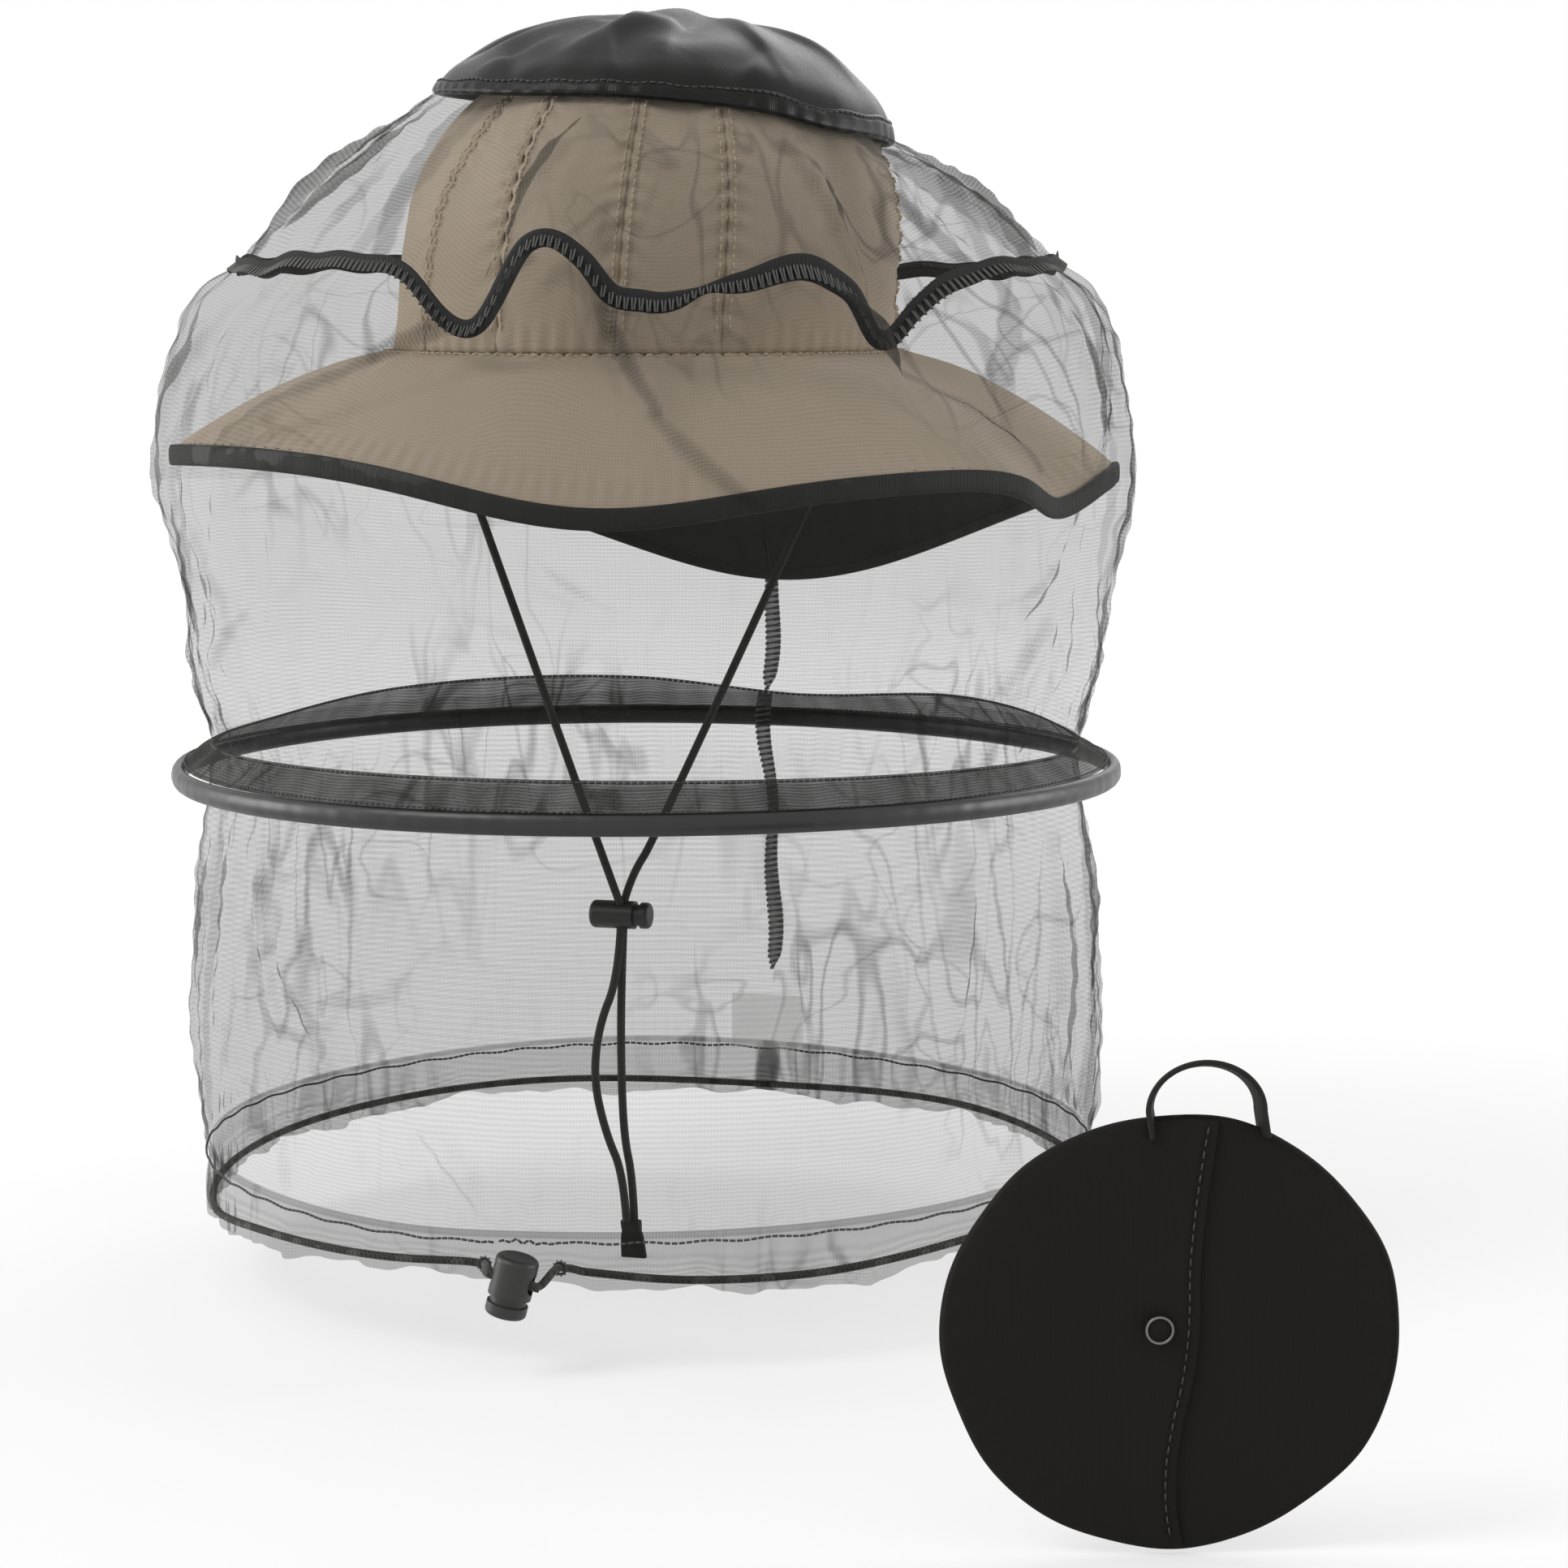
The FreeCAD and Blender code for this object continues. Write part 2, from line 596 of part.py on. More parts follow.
def make_pouch():
    inset = 2 * POUCH_EDGE_RADIUS
    half = POUCH_WIDTH / 2
    shell = pouch_dome(inset, POUCH_BULGE + POUCH_CLOTH, 1).cut(pouch_dome(inset + 3, POUCH_BULGE, 1))
    right_edge, left_edge = FRONT_OVERLAP
    left = shell.cut(Part.makeBox(POUCH_WIDTH, 20, 2 * half, V(left_edge, -10, -half)))
    left.translate(V(0, -POUCH_CLOTH - PANEL_GAP, 0))
    right = shell.cut(Part.makeBox(POUCH_WIDTH, 20, 2 * half, V(right_edge - POUCH_WIDTH, -10, -half)))
    right.translate(V(0, -0.4, 0))
    back = pouch_dome(inset, POUCH_BULGE, -1).cut(pouch_dome(inset + 3, POUCH_BULGE - POUCH_CLOTH, -1))
    wide = POUCH_WIDTH / 2 - POUCH_EDGE_RADIUS
    section = Part.Wire(Part.makeCircle(POUCH_EDGE_RADIUS, V(wide, 0, 0), UP))
    outline = Part.Ellipse(V(0, 0, 0), wide, POUCH_HEIGHT / 2 - POUCH_EDGE_RADIUS)
    path = Part.Wire(outline.toShape())
    path.rotate(V(0, 0, 0), V(1, 0, 0), 90)
    edge = path.makePipeShell([section], True, True)
    arch_half = HANDLE_WIDTH / 2 - 0.9
    deep, thick = HANDLE_STRAP
    left_foot, right_foot = (
        POUCH_HEIGHT / 2 * math.sqrt(1 - (2 * x / POUCH_WIDTH) ** 2) - HANDLE_FOOT
        for x in (HANDLE_ASIDE - arch_half, HANDLE_ASIDE + arch_half)
    )
    shoulder = POUCH_HEIGHT / 2 + HANDLE_RISE - arch_half - thick / 2
    top_left, top_right = V(-arch_half, 0, shoulder), V(arch_half, 0, shoulder)
    strap = Part.Wire(
        [
            Part.makeLine(V(-arch_half, 0, left_foot), top_left),
            Part.Arc(top_left, V(0, 0, shoulder + arch_half), top_right).toShape(),
            Part.makeLine(top_right, V(arch_half, 0, right_foot)),
        ]
    )
    corner = [
        V(-arch_half + across * thick / 2, back_to * deep / 2, left_foot)
        for across, back_to in ((-1, -1), (1, -1), (1, 1), (-1, 1))
    ]
    handle = strap.makePipeShell([Part.makePolygon(corner + corner[:1])], True, True)
    handle.translate(V(HANDLE_ASIDE, 0, 0))
    handle = handle.cut(edge)
    front = -(POUCH_BULGE + 2 * POUCH_CLOTH + PANEL_GAP)
    cap = Part.makeCylinder(SNAP_RADIUS, SNAP_HEIGHT, V(SNAP_AT[0], front + 0.1, SNAP_AT[1]), V(0, -1, 0))
    cap = cap.makeFillet(0.5, [e for e in cap.Edges if e.BoundBox.YMax < front - 1.2]).cut(left)
    under = V(SNAP_AT[0], front + POUCH_CLOTH + SOCKET_HEIGHT, SNAP_AT[1])
    socket = Part.makeCylinder(SOCKET_RADIUS, SOCKET_HEIGHT, under, V(0, -1, 0)).cut(right).cut(left)
    names = {
        "pouch_front_left_panel": left,
        "pouch_front_right_panel": right,
        "pouch_back_panel": back,
        "pouch_edge_binding": edge,
        "pouch_handle": handle,
        "pouch_snap_cap": cap,
        "pouch_snap_socket": socket,
    }
    for name, shape in names.items():
        save(name, *place_pouch(shape))


make_hat()
make_upper_veil()
make_ring()
make_lower_veil()
make_hem()
make_chin_lock()
make_hem_lock()
make_chin_cord()
make_pouch()
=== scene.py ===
import math

import bmesh
import bpy
import numpy as np
from mathutils import Matrix, Vector


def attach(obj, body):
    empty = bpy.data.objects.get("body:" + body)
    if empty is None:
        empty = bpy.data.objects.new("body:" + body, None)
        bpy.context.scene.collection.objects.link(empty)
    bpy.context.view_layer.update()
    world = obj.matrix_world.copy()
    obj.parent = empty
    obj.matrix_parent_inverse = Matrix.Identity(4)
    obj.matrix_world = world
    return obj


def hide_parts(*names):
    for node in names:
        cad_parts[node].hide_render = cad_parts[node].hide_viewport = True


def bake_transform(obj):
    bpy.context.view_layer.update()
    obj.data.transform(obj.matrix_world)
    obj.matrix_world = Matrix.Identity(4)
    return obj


bl_info = {
    "name": "Beekeeping Veil",
    "version": (1, 0, 0),
    "blender": (4, 5, 0),
    "location": "3D View > Sidebar > Veil",
    "description": "A sun hat inside a net veil with a spring ring, a drawn hem, a chin cord and a pouch",
    "category": "Add Mesh",
}

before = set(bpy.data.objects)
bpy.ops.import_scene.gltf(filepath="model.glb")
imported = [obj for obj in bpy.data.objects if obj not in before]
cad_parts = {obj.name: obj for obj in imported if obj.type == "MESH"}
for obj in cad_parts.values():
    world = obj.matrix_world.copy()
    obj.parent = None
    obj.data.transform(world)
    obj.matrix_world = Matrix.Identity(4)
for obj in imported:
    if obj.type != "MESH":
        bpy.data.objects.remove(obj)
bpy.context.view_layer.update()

MM = 0.001
RNG_SEED = 7

# Sun hat, in millimetres as in the part's source
CROWN_HALF = (88.0, 103.0)
CROWN_PROFILE = [(1.0, 0), (0.992, 36), (0.925, 61), (0.765, 83.5), (0.54, 101), (0.27, 111.5), (0.0, 115)]
CROWN_PANELS = {
    "hat_crown_front_panel": (-14, 14),
    "hat_crown_front_right_panel": (14, 37),
    "hat_crown_side_right_panel": (37, 105),
    "hat_crown_back_right_panel": (105, 180),
    "hat_crown_back_left_panel": (180, 255),
    "hat_crown_side_left_panel": (255, 323),
    "hat_crown_front_left_panel": (323, 346),
}
BRIM_STACK = 3.6
BRIM_EDGE_DROP = 38.0
BRIM_REACH = 88.0
BRIM_BACK_REACH = 106.0
BRIM_LIMIT_RADIUS = 168.0
BRIM_TUCK = 0.24
BRIM_TUCK_HEIGHT = 50.0
BRIM_DROOPS = [(50, 178, 46), (12, 14, 24), (12, 80, 10), (-6, -40, 40)]  # extra drop, front angle, spread

# Radii at which the way round each sheet is measured, and the crown's length from foot to top
CROWN_ROUND = 95.0
CROWN_LONG = 140.0
BRIM_ROUND = 150.0
DOME_ROUND = 115.0
NET_ROUND = 160.0
NET_LAP = 1005.0

# Veil profiles: radius, height
SIDE_NET = [
    (156, -137), (163, -111), (166, -85), (169, -66), (173, -45), (172.5, -20), (168, 3), (161, 18),
    (147, 29),
]
FRONT_NET = [
    (156, -137), (162.5, -111), (166.5, -88), (170, -68), (173.5, -50), (168, -34), (156, -16), (142, 2),
    (128, 20),
]
BACK_NET = [
    (156, -137), (160, -118), (163, -100), (164, -80), (165, -55), (166, -30), (165, 0), (158, 18), (147, 29),
]
LOWER_NET = [(156.2, -139), (156.5, -152), (161, -190), (163, -228), (162.5, -262), (160.5, -288)]
# Shoulder seam: degrees round from the front, radius, height
SHOULDER = [
    (-100, 147, 30), (-75, 146, 30), (-54, 138, 29), (-42, 132, 31), (-20, 129, 26), (-8, 128, 9),
    (1, 129, 36),
    (9, 129, 32), (13, 128, 20), (18, 128, 17), (28, 129, 22), (37.5, 129, 27), (46, 129, 26), (50, 129, 20),
    (54, 129, 6), (62, 131, 15), (68, 134, 24), (87, 144, 29), (110, 147, 31), (140, 147, 28), (180, 147, 30),
    (215, 147, 27), (240, 147, 31),
]
# Rim of the satin patch: degrees, radius, height
PATCH_RIM = [
    (-110, 80, 89), (-72, 81, 90), (-24, 80.5, 87), (14, 80, 85), (46, 80, 80), (61, 81, 76), (95, 82, 73),
    (108, 82, 72), (150, 81, 75), (200, 80, 81),
]
PATCH_RISE = [(1.0, 0.0), (0.975, 0.2), (0.89, 0.42), (0.70, 0.70), (0.38, 0.93), (0.16, 0.99), (0.0, 1.0)]
FLANGE_TOP = [(-60, 156, -138.5), (-20, 156, -137), (20, 156, -136.5), (60, 156, -138), (110, 155.5, -140),
              (150, 155, -135), (175, 155, -138.5), (200, 155, -132.5), (235, 155, -133), (265, 155.5, -139)]
HEM_STITCH_Z = [(-72, -285.5), (-40, -287.5), (-8, -289), (3, -288), (30, -287), (70, -286), (110, -285),
                (160, -284), (200, -282), (240, -284)]
DRAWCORD_Z = [(-75, -303.5), (-62, -305), (-40, -301), (-14, -299), (-4, -297.5), (6, -298), (22, -301.5),
              (36, -302),
              (60, -298.5), (90, -297), (120, -299), (150, -297), (180, -298.5), (215, -296.5), (250, -299)]
RING_RADIUS = 168.7
RING_Z = -150.0
# Heights, in metres, of the span of each net wall between the body above and the one below
UPPER_BEND = (-0.062, -0.137)
LOWER_BEND = (-0.155, -0.285)
# Hem lock: place, turn round the hem and tilt, then where the drawcord's ends leave the loop
HEM_LOCK = (0, -172.2, -299.0)
HEM_LOCK_TURN = 3.0
HEM_LOCK_TILT = 14.0
HEM_LOCK_GAP = 7.0
DRAWCORD_RADIUS = 1.35
EYELET = (13.0, -161.9, -297.0)

# Cord routes, in millimetres as in the part's source
CORDS = {
    "chin_cord_left_leg": [(-82, -1, -9), (-16.5, -3.2, -184), (-9.2, -4.05, -201.5)],
    "chin_cord_right_leg": [(82, 0, -9), (3.5, -0.5, -176), (-6.4, -0.8, -191), (-9.2, -0.95, -201.5)],
    "chin_cord_left_tail": [
        (-9.2, -4.05, -208.5), (-10.2, -4.4, -228), (-17.5, -5.2, -246), (-19.5, -5.8, -266),
        (-15, -5.4, -286), (-8.6, -4.4, -301), (-7.6, -4.05, -319),
    ],
    "chin_cord_right_tail": [
        (-9.2, -0.95, -208.5), (-10.4, -0.6, -234), (-10.8, 0.1, -262), (-9.6, -0.4, -288),
        (-6.2, -0.9, -303), (-5.6, -0.95, -319),
    ],
}
POUCH_CENTRE = (248.4, -292.0, -268.5)
POUCH_TURN = 18.0
POUCH_HALF = (65.5, 63.1)
POUCH_EDGE = 1.3
SNAP_AT = (-3.9, 2.2)
SNAP_RADIUS = 4.192
PANEL_LAP = 9.0
HANDLE_ASIDE = 8.8
HANDLE_HALF = 15.5
HANDLE_RISE = 13.2
HANDLE_LEG = 0.27  # share of the strap in each leg
POUCH_SEAM = [
    (4, -63), (1.6, -49), (1.5, -39), (3.4, -25), (6.1, -12), (7.5, 2), (7.6, 19), (9, 36), (11, 51),
    (13.2, 63),
]

# Lamps: name, place, size, power
LAMPS = [
    ("Key", (-1.2, -1.5, 1.6), 1.3, 22.0),
    ("Left", (-1.9, -0.3, 0.1), 1.1, 15.0),
    ("Right", (1.9, 0.7, 0.1), 1.1, 15.0),
    ("Back", (0.3, 1.9, 1.3), 1.6, 10.0),
]
BACKDROP_LIGHT = 0.58  # how much of the backdrop's level lights the object


# ---------------------------------------------------------------- sizes and colours a user may change
class VeilNet(bpy.types.PropertyGroup):
    cover: bpy.props.FloatProperty(name="Net cover", description="Share of one layer of net that is thread",
                                   default=0.27, min=0.05, max=1.0, subtype="FACTOR")
    course: bpy.props.FloatProperty(name="Course height",
                                    description="Height of one knitted course of the net",
                                    default=0.0017, unit="LENGTH", subtype="DISTANCE")
    colour: bpy.props.FloatVectorProperty(name="Net colour", description="Colour of the net's thread",
                                          default=(0.022, 0.022, 0.0205), size=3, subtype="COLOR")
    satin: bpy.props.FloatVectorProperty(name="Satin colour",
                                         description="Colour of the crown patch and ring casing",
                                         default=(0.009, 0.009, 0.0085), size=3, subtype="COLOR")
    thread: bpy.props.FloatVectorProperty(name="Thread colour", description="Colour of the overlock thread",
                                          default=(0.030, 0.030, 0.029), size=3, subtype="COLOR")


class VeilHat(bpy.types.PropertyGroup):
    cloth: bpy.props.FloatVectorProperty(name="Hat cloth",
                                         description="Colour of the crown and the brim's top",
                                         default=(0.60, 0.495, 0.378), size=3, subtype="COLOR")
    lining: bpy.props.FloatVectorProperty(name="Brim lining", description="Colour of the brim's underside",
                                          default=(0.017, 0.017, 0.0155), size=3, subtype="COLOR")
    binding_width: bpy.props.FloatProperty(name="Binding width", description="Height of the bound brim edge",
                                           default=0.0074, unit="LENGTH", subtype="DISTANCE")
    lean: bpy.props.FloatProperty(name="Crown lean", description="How far the soft crown leans to the right",
                                  default=0.008, unit="LENGTH", subtype="DISTANCE")


class VeilCord(bpy.types.PropertyGroup):
    diameter: bpy.props.FloatProperty(name="Chin cord diameter", description="Diameter of the chin cord",
                                      default=0.003, unit="LENGTH", subtype="DISTANCE")
    colour: bpy.props.FloatVectorProperty(name="Cord colour", description="Colour of the cords",
                                          default=(0.040, 0.040, 0.036), size=3, subtype="COLOR")
    plastic: bpy.props.FloatVectorProperty(name="Lock colour", description="Colour of the cord locks",
                                           default=(0.020, 0.020, 0.019), size=3, subtype="COLOR")


class VeilPouch(bpy.types.PropertyGroup):
    cloth: bpy.props.FloatVectorProperty(name="Pouch cloth", description="Colour of the pouch",
                                         default=(0.0112, 0.0105, 0.0082), size=3, subtype="COLOR")
    fullness: bpy.props.FloatProperty(name="Pouch fullness",
                                      description="How far the pouch's front stands out",
                                      default=0.003, unit="LENGTH", subtype="DISTANCE")


class VeilStage(bpy.types.PropertyGroup):
    floor_height: bpy.props.FloatProperty(name="Floor height", description="Height of the floor",
                                          default=-0.3325, unit="LENGTH", subtype="DISTANCE")
    camera_distance: bpy.props.FloatProperty(name="Camera distance",
                                             description="From the camera to the hat's axis",
                                             default=1.454, unit="LENGTH", subtype="DISTANCE")
    camera_height: bpy.props.FloatProperty(name="Camera height",
                                           description="Height of the camera above the hat's base",
                                           default=0.024, unit="LENGTH", subtype="DISTANCE")
    camera_turn: bpy.props.FloatProperty(name="Camera turn",
                                         description="How far round from the front the camera is",
                                         default=math.radians(18.0), unit="ROTATION", subtype="ANGLE")
    camera_pitch: bpy.props.FloatProperty(name="Camera pitch", description="How far the camera looks down",
                                          default=math.radians(7.1), unit="ROTATION", subtype="ANGLE")
    camera_yaw: bpy.props.FloatProperty(name="Camera yaw",
                                        description="How far the camera looks to the right of the hat",
                                        default=math.radians(1.95), unit="ROTATION", subtype="ANGLE")
    lens: bpy.props.FloatProperty(name="Lens", description="Focal length of the camera in millimetres",
                                  default=92.6)


# ---------------------------------------------------------------- lines and surfaces
def smooth(low, high, value):
    share = np.clip((value - low) / (high - low), 0, 1)
    return share * share * (3 - 2 * share)


def gap(degrees, centre):
    """Signed way round from centre, in degrees."""
    return (degrees - centre + 180) % 360 - 180


def bump(degrees, centre, spread):
    return np.exp(-((gap(degrees, centre) / spread) ** 2))


def hermite(knots, values, at):
    """A smooth curve through values at knots, read at other places."""
    slope = np.gradient(values, knots, axis=0)
    i = np.clip(np.searchsorted(knots, at, side="right") - 1, 0, len(knots) - 2)
    span = knots[i + 1] - knots[i]
    t = ((at - knots[i]) / span)[..., None]
    span = span[..., None]
    return (values[i] * (2 * t**3 - 3 * t**2 + 1) + values[i + 1] * (3 * t**2 - 2 * t**3)
            + slope[i] * span * (t**3 - 2 * t**2 + t) + slope[i + 1] * span * (t**3 - t**2))


def around(stations, degrees):
    """Smooth closed line through stations of (degrees, value, ...)."""
    base = np.array(sorted(stations), float)
    lap = np.zeros_like(base)
    lap[:, 0] = 360
    knots = np.concatenate([base - lap, base, base + lap])
    return hermite(knots[:, 0], knots[:, 1:], gap(np.asarray(degrees, float), 0))


def along(points, share):
    """A smooth open line through points, read at a share of its length."""
    values = np.array(points, float)
    return hermite(np.arange(len(values), dtype=float), values, np.asarray(share, float) * (len(values) - 1))


def far_along(line):
    """How far along a line each of its points is."""
    return np.concatenate([[0], np.cumsum(np.linalg.norm(np.diff(line, axis=0), axis=1))])


def points_at(line, far, at):
    """The points of a line at some distances along it."""
    return np.stack([np.interp(at, far, line[:, k]) for k in range(3)], 1)


def ring_xyz(degrees, radius, height):
    """Points round the axis. Degrees run from the front to the right."""
    angle = np.radians(degrees)
    return np.stack([radius * np.sin(angle), -radius * np.cos(angle), height + 0 * angle], -1)


def beside(s, t, line, lap):
    """How far along a line (s0, t0, s1, t1) each point is, how far off it, and the line's length."""
    s0, t0, s1, t1 = line
    ds = s - (s0 + s1) / 2
    if lap:
        ds = (ds + lap / 2) % lap - lap / 2
    dt = t - (t0 + t1) / 2
    length = math.hypot(s1 - s0, t1 - t0)
    cs, ct = (s1 - s0) / length, (t1 - t0) / length
    return (ds * cs + dt * ct) / length, dt * cs - ds * ct, length


def folds(s, t, creases, lap=None):
    """Height of the creases (s0, t0, s1, t1, height, width, bow): steep on one side, gentle on the other."""
    height = np.zeros_like(s)
    for *line, depth, width, bow in creases:
        run, off, length = beside(s, t, line, lap)
        off = off + bow * length * (0.25 - run * run)
        side = np.where(off > 0, width, 3.0 * width)
        fade = np.clip(1 - (2 * run) ** 2, 0, 1) ** 1.3
        height += depth * np.exp(-((off / side) ** 2)) * fade
    return height


def crumple(s, t):
    """Small uneven ripples all over a net, in mm."""
    return (0.30 * np.sin(s / 1.5 + 2.1 * np.sin(t / 9.0) + 1.3 * np.sin(s / 13.0))
            + 0.30 * np.sin(t / 1.7 + 1.9 * np.sin(s / 9.0) + 1.7 * np.sin(t / 17.0 + s / 29.0)))


def strips(s, t, lines, lap):
    """Extra plies where the cloth is doubled in strips (s0, t0, s1, t1, width, plies)."""
    plies = np.zeros_like(s)
    for *line, width, extra in lines:
        run, off, _ = beside(s, t, line, lap)
        edge = width / 2 * (np.sqrt(np.clip(1 - (2 * run) ** 2, 0, 1)) * 0.6 + 0.4)
        inside = 1 - smooth(edge - 0.9, edge + 0.9, np.abs(off))
        plies += extra * inside * (1 - smooth(0.46, 0.5, np.abs(run)))
    return plies


def placed(radius, lines):
    """Lines of (degrees, height, degrees, height, ...), with their degrees made mm round a radius."""
    return [(math.radians(start) * radius, t0, math.radians(end) * radius, t1, *rest)
            for start, t0, end, t1, *rest in lines]


def scattered(rng, count, degrees, heights, lengths, tilts, depths, widths, radius=NET_ROUND):
    """Creases strewn over part of the net. Tilt is from upright, in degrees."""
    creases = []
    for _ in range(count):
        s = math.radians(rng.uniform(*degrees)) * radius
        t = rng.uniform(*heights)
        length = rng.uniform(*lengths)
        tilt = math.radians(rng.uniform(*tilts))
        ds, dt = math.sin(tilt) * length / 2, math.cos(tilt) * length / 2
        turn = 1 if rng.random() < 0.5 else -1
        creases.append((s - turn * ds, t - turn * dt, s + turn * ds, t + turn * dt,
                        rng.uniform(*depths) * (1 if rng.random() < 0.6 else -1), rng.uniform(*widths),
                        rng.uniform(-0.35, 0.35)))
    return creases


# ---------------------------------------------------------------- meshes
def linked(name, mesh, finish):
    piece = bpy.data.objects.new(name, mesh)
    bpy.context.scene.collection.objects.link(piece)
    mesh.materials.append(finish)
    mesh.polygons.foreach_set("use_smooth", [True] * len(mesh.polygons))
    return piece


def started():
    """A new bmesh with a UV map."""
    bm = bmesh.new()
    bm.loops.layers.uv.new("UVMap")
    return bm


def ended(bm, name):
    """The mesh of a finished bmesh."""
    mesh = bpy.data.meshes.new(name)
    bm.to_mesh(mesh)
    bm.free()
    return mesh


def new_grid(name, columns, rows):
    """A flat grid as a mesh, and how far along it and up it each vertex is."""
    bm = started()
    bmesh.ops.create_grid(bm, x_segments=columns, y_segments=rows, size=0.5, calc_uvs=True)
    mesh = ended(bm, name)
    flat = np.empty(len(mesh.vertices) * 3)
    mesh.vertices.foreach_get("co", flat)
    grid = flat.reshape(rows + 1, columns + 1, 3) + 0.5
    return mesh, grid[..., 0], grid[..., 1]


def put(mesh, points, size, plies=None, weld=True, close=False, outward=False):
    """Moves a grid's vertices to points in mm, gives its UV map its size in metres, and closes its seams."""
    mesh.vertices.foreach_set("co", (points * MM).ravel())
    uv = np.empty(len(mesh.loops) * 2)
    mesh.uv_layers[0].data.foreach_get("uv", uv)
    mesh.uv_layers[0].data.foreach_set("uv", (uv.reshape(-1, 2) * np.array(size) * MM).ravel())
    if plies is not None:
        kept = mesh.attributes.new("plies", "FLOAT", "POINT")
        kept.data.foreach_set("value", plies.ravel().astype(np.float32))
    bm = bmesh.new()
    bm.from_mesh(mesh)
    if weld:
        bmesh.ops.remove_doubles(bm, verts=bm.verts, dist=2e-6)
    if close:
        bmesh.ops.holes_fill(bm, edges=bm.edges, sides=0)
    if outward:
        bmesh.ops.recalc_face_normals(bm, faces=bm.faces)
    bm.to_mesh(mesh)
    bm.free()
    mesh.update()


def normals_of(points):
    """Normals of a grid of points that closes on itself, and the area that each stands for."""
    wide = np.concatenate([points[:, -2:-1], points, points[:, 1:2]], axis=1)
    normal = np.cross(np.gradient(wide, axis=1)[:, 1:-1], np.gradient(points, axis=0))
    area = np.linalg.norm(normal, axis=-1, keepdims=True)
    return normal / np.maximum(area, 1e-9), area[..., 0]


def raised(points, height):
    """A sheet's points moved out by height, and how many plies deep its cloth then lies."""
    normal, area = normals_of(points)
    moved = points + normal * height[..., None]
    return moved, np.clip(normals_of(moved)[1] / np.maximum(area, 1e-9), 1.0, 2.0)


def sweep(name, path, section, finish, outward, closed=False, size=None):
    """A tube of one section along a path; outward says which way its first axis points at each step."""
    path, outward = np.asarray(path, float), np.asarray(outward, float)
    steps, sides = len(path), len(section)
    if closed:
        wide = np.concatenate([path[-2:-1], path, path[1:2]])
        way = np.gradient(wide, axis=0)[1:-1]
    else:
        way = np.gradient(path, axis=0)
    way = way / np.linalg.norm(way, axis=1, keepdims=True)
    first = outward - way * (outward * way).sum(1, keepdims=True)
    first = first / np.linalg.norm(first, axis=1, keepdims=True)
    second = np.cross(way, first)
    mesh, u, v = new_grid(name, steps - 1, sides)
    i = np.rint(u * (steps - 1)).astype(int)
    j = np.rint(v * sides).astype(int) % sides
    ab = np.array(section, float)
    if ab.ndim == 3:
        a, b = ab[j, i, 0], ab[j, i, 1]
    else:
        a, b = ab[j, 0], ab[j, 1]
    points = path[i] + first[i] * a[..., None] + second[i] * b[..., None]
    length = float(np.linalg.norm(np.diff(path, axis=0), axis=1).sum())
    put(mesh, points, size or (length, 4 * float(np.abs(ab).max())), close=not closed, outward=True)
    return linked(name, mesh, finish)


def round_section(radius, sides):
    turn = np.linspace(0, 2 * math.pi, sides, endpoint=False)
    return np.stack([np.cos(turn), np.sin(turn)], 1) * radius


def pad_section(width, height, sides, power):
    turn = np.linspace(0, 2 * math.pi, sides, endpoint=False)
    c, s = np.cos(turn), np.sin(turn)
    across = np.sign(c) * np.abs(c) ** power * width / 2
    return np.stack([across, np.sign(s) * np.abs(s) ** power * height / 2], 1)


def stitches(name, starts, ends, thick, finish):
    """Many short threads from starts to ends."""
    bm = started()
    bmesh.ops.create_cone(bm, cap_ends=True, segments=5, radius1=0.5, radius2=0.5, depth=1.0, calc_uvs=True)
    one = bpy.data.meshes.new(name + "_one")
    bm.to_mesh(one)
    bm.clear()
    for start, end in zip(np.asarray(starts) * MM, np.asarray(ends) * MM):
        start, end = Vector(start), Vector(end)
        way = end - start
        size = Matrix.Diagonal((thick * MM, thick * MM, way.length, 1.0))
        copy = one.copy()
        copy.transform(Matrix.Translation((start + end) / 2)
                       @ way.to_track_quat("Z", "Y").to_matrix().to_4x4() @ size)
        bm.from_mesh(copy)
        bpy.data.meshes.remove(copy)
    bpy.data.meshes.remove(one)
    return linked(name, ended(bm, name), finish)


def running_stitch(name, path, outward, pitch, share, thick, finish, lift=0.25):
    """A line of stitches along a path, each lying on the cloth."""
    path, outward = np.asarray(path, float), np.asarray(outward, float)
    far = far_along(path)
    starts = np.arange(pitch * 0.1, far[-1] - pitch * share, pitch)
    lifted = path + outward * lift
    ends = points_at(lifted, far, starts + pitch * share)
    return stitches(name, points_at(lifted, far, starts), ends, thick, finish)


def thickened(piece, thickness):
    solid = piece.modifiers.new("Cloth thickness", "SOLIDIFY")
    solid.thickness, solid.offset = thickness, -1.0
    return piece


def owned(piece, body, slot, *nodes):
    """Puts a piece on a body and hides the nodes that it stands for. The slot is not used."""
    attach(piece, body)
    if nodes:
        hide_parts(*nodes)
    return piece


def bending(piece, a, b, start, end, slot, *nodes):
    """Bakes a piece's place into its mesh and hides the nodes that it stands for. The bodies a and b, the
    heights start and end, and the slot are not used.
    """
    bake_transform(piece)
    if nodes:
        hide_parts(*nodes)
    return piece


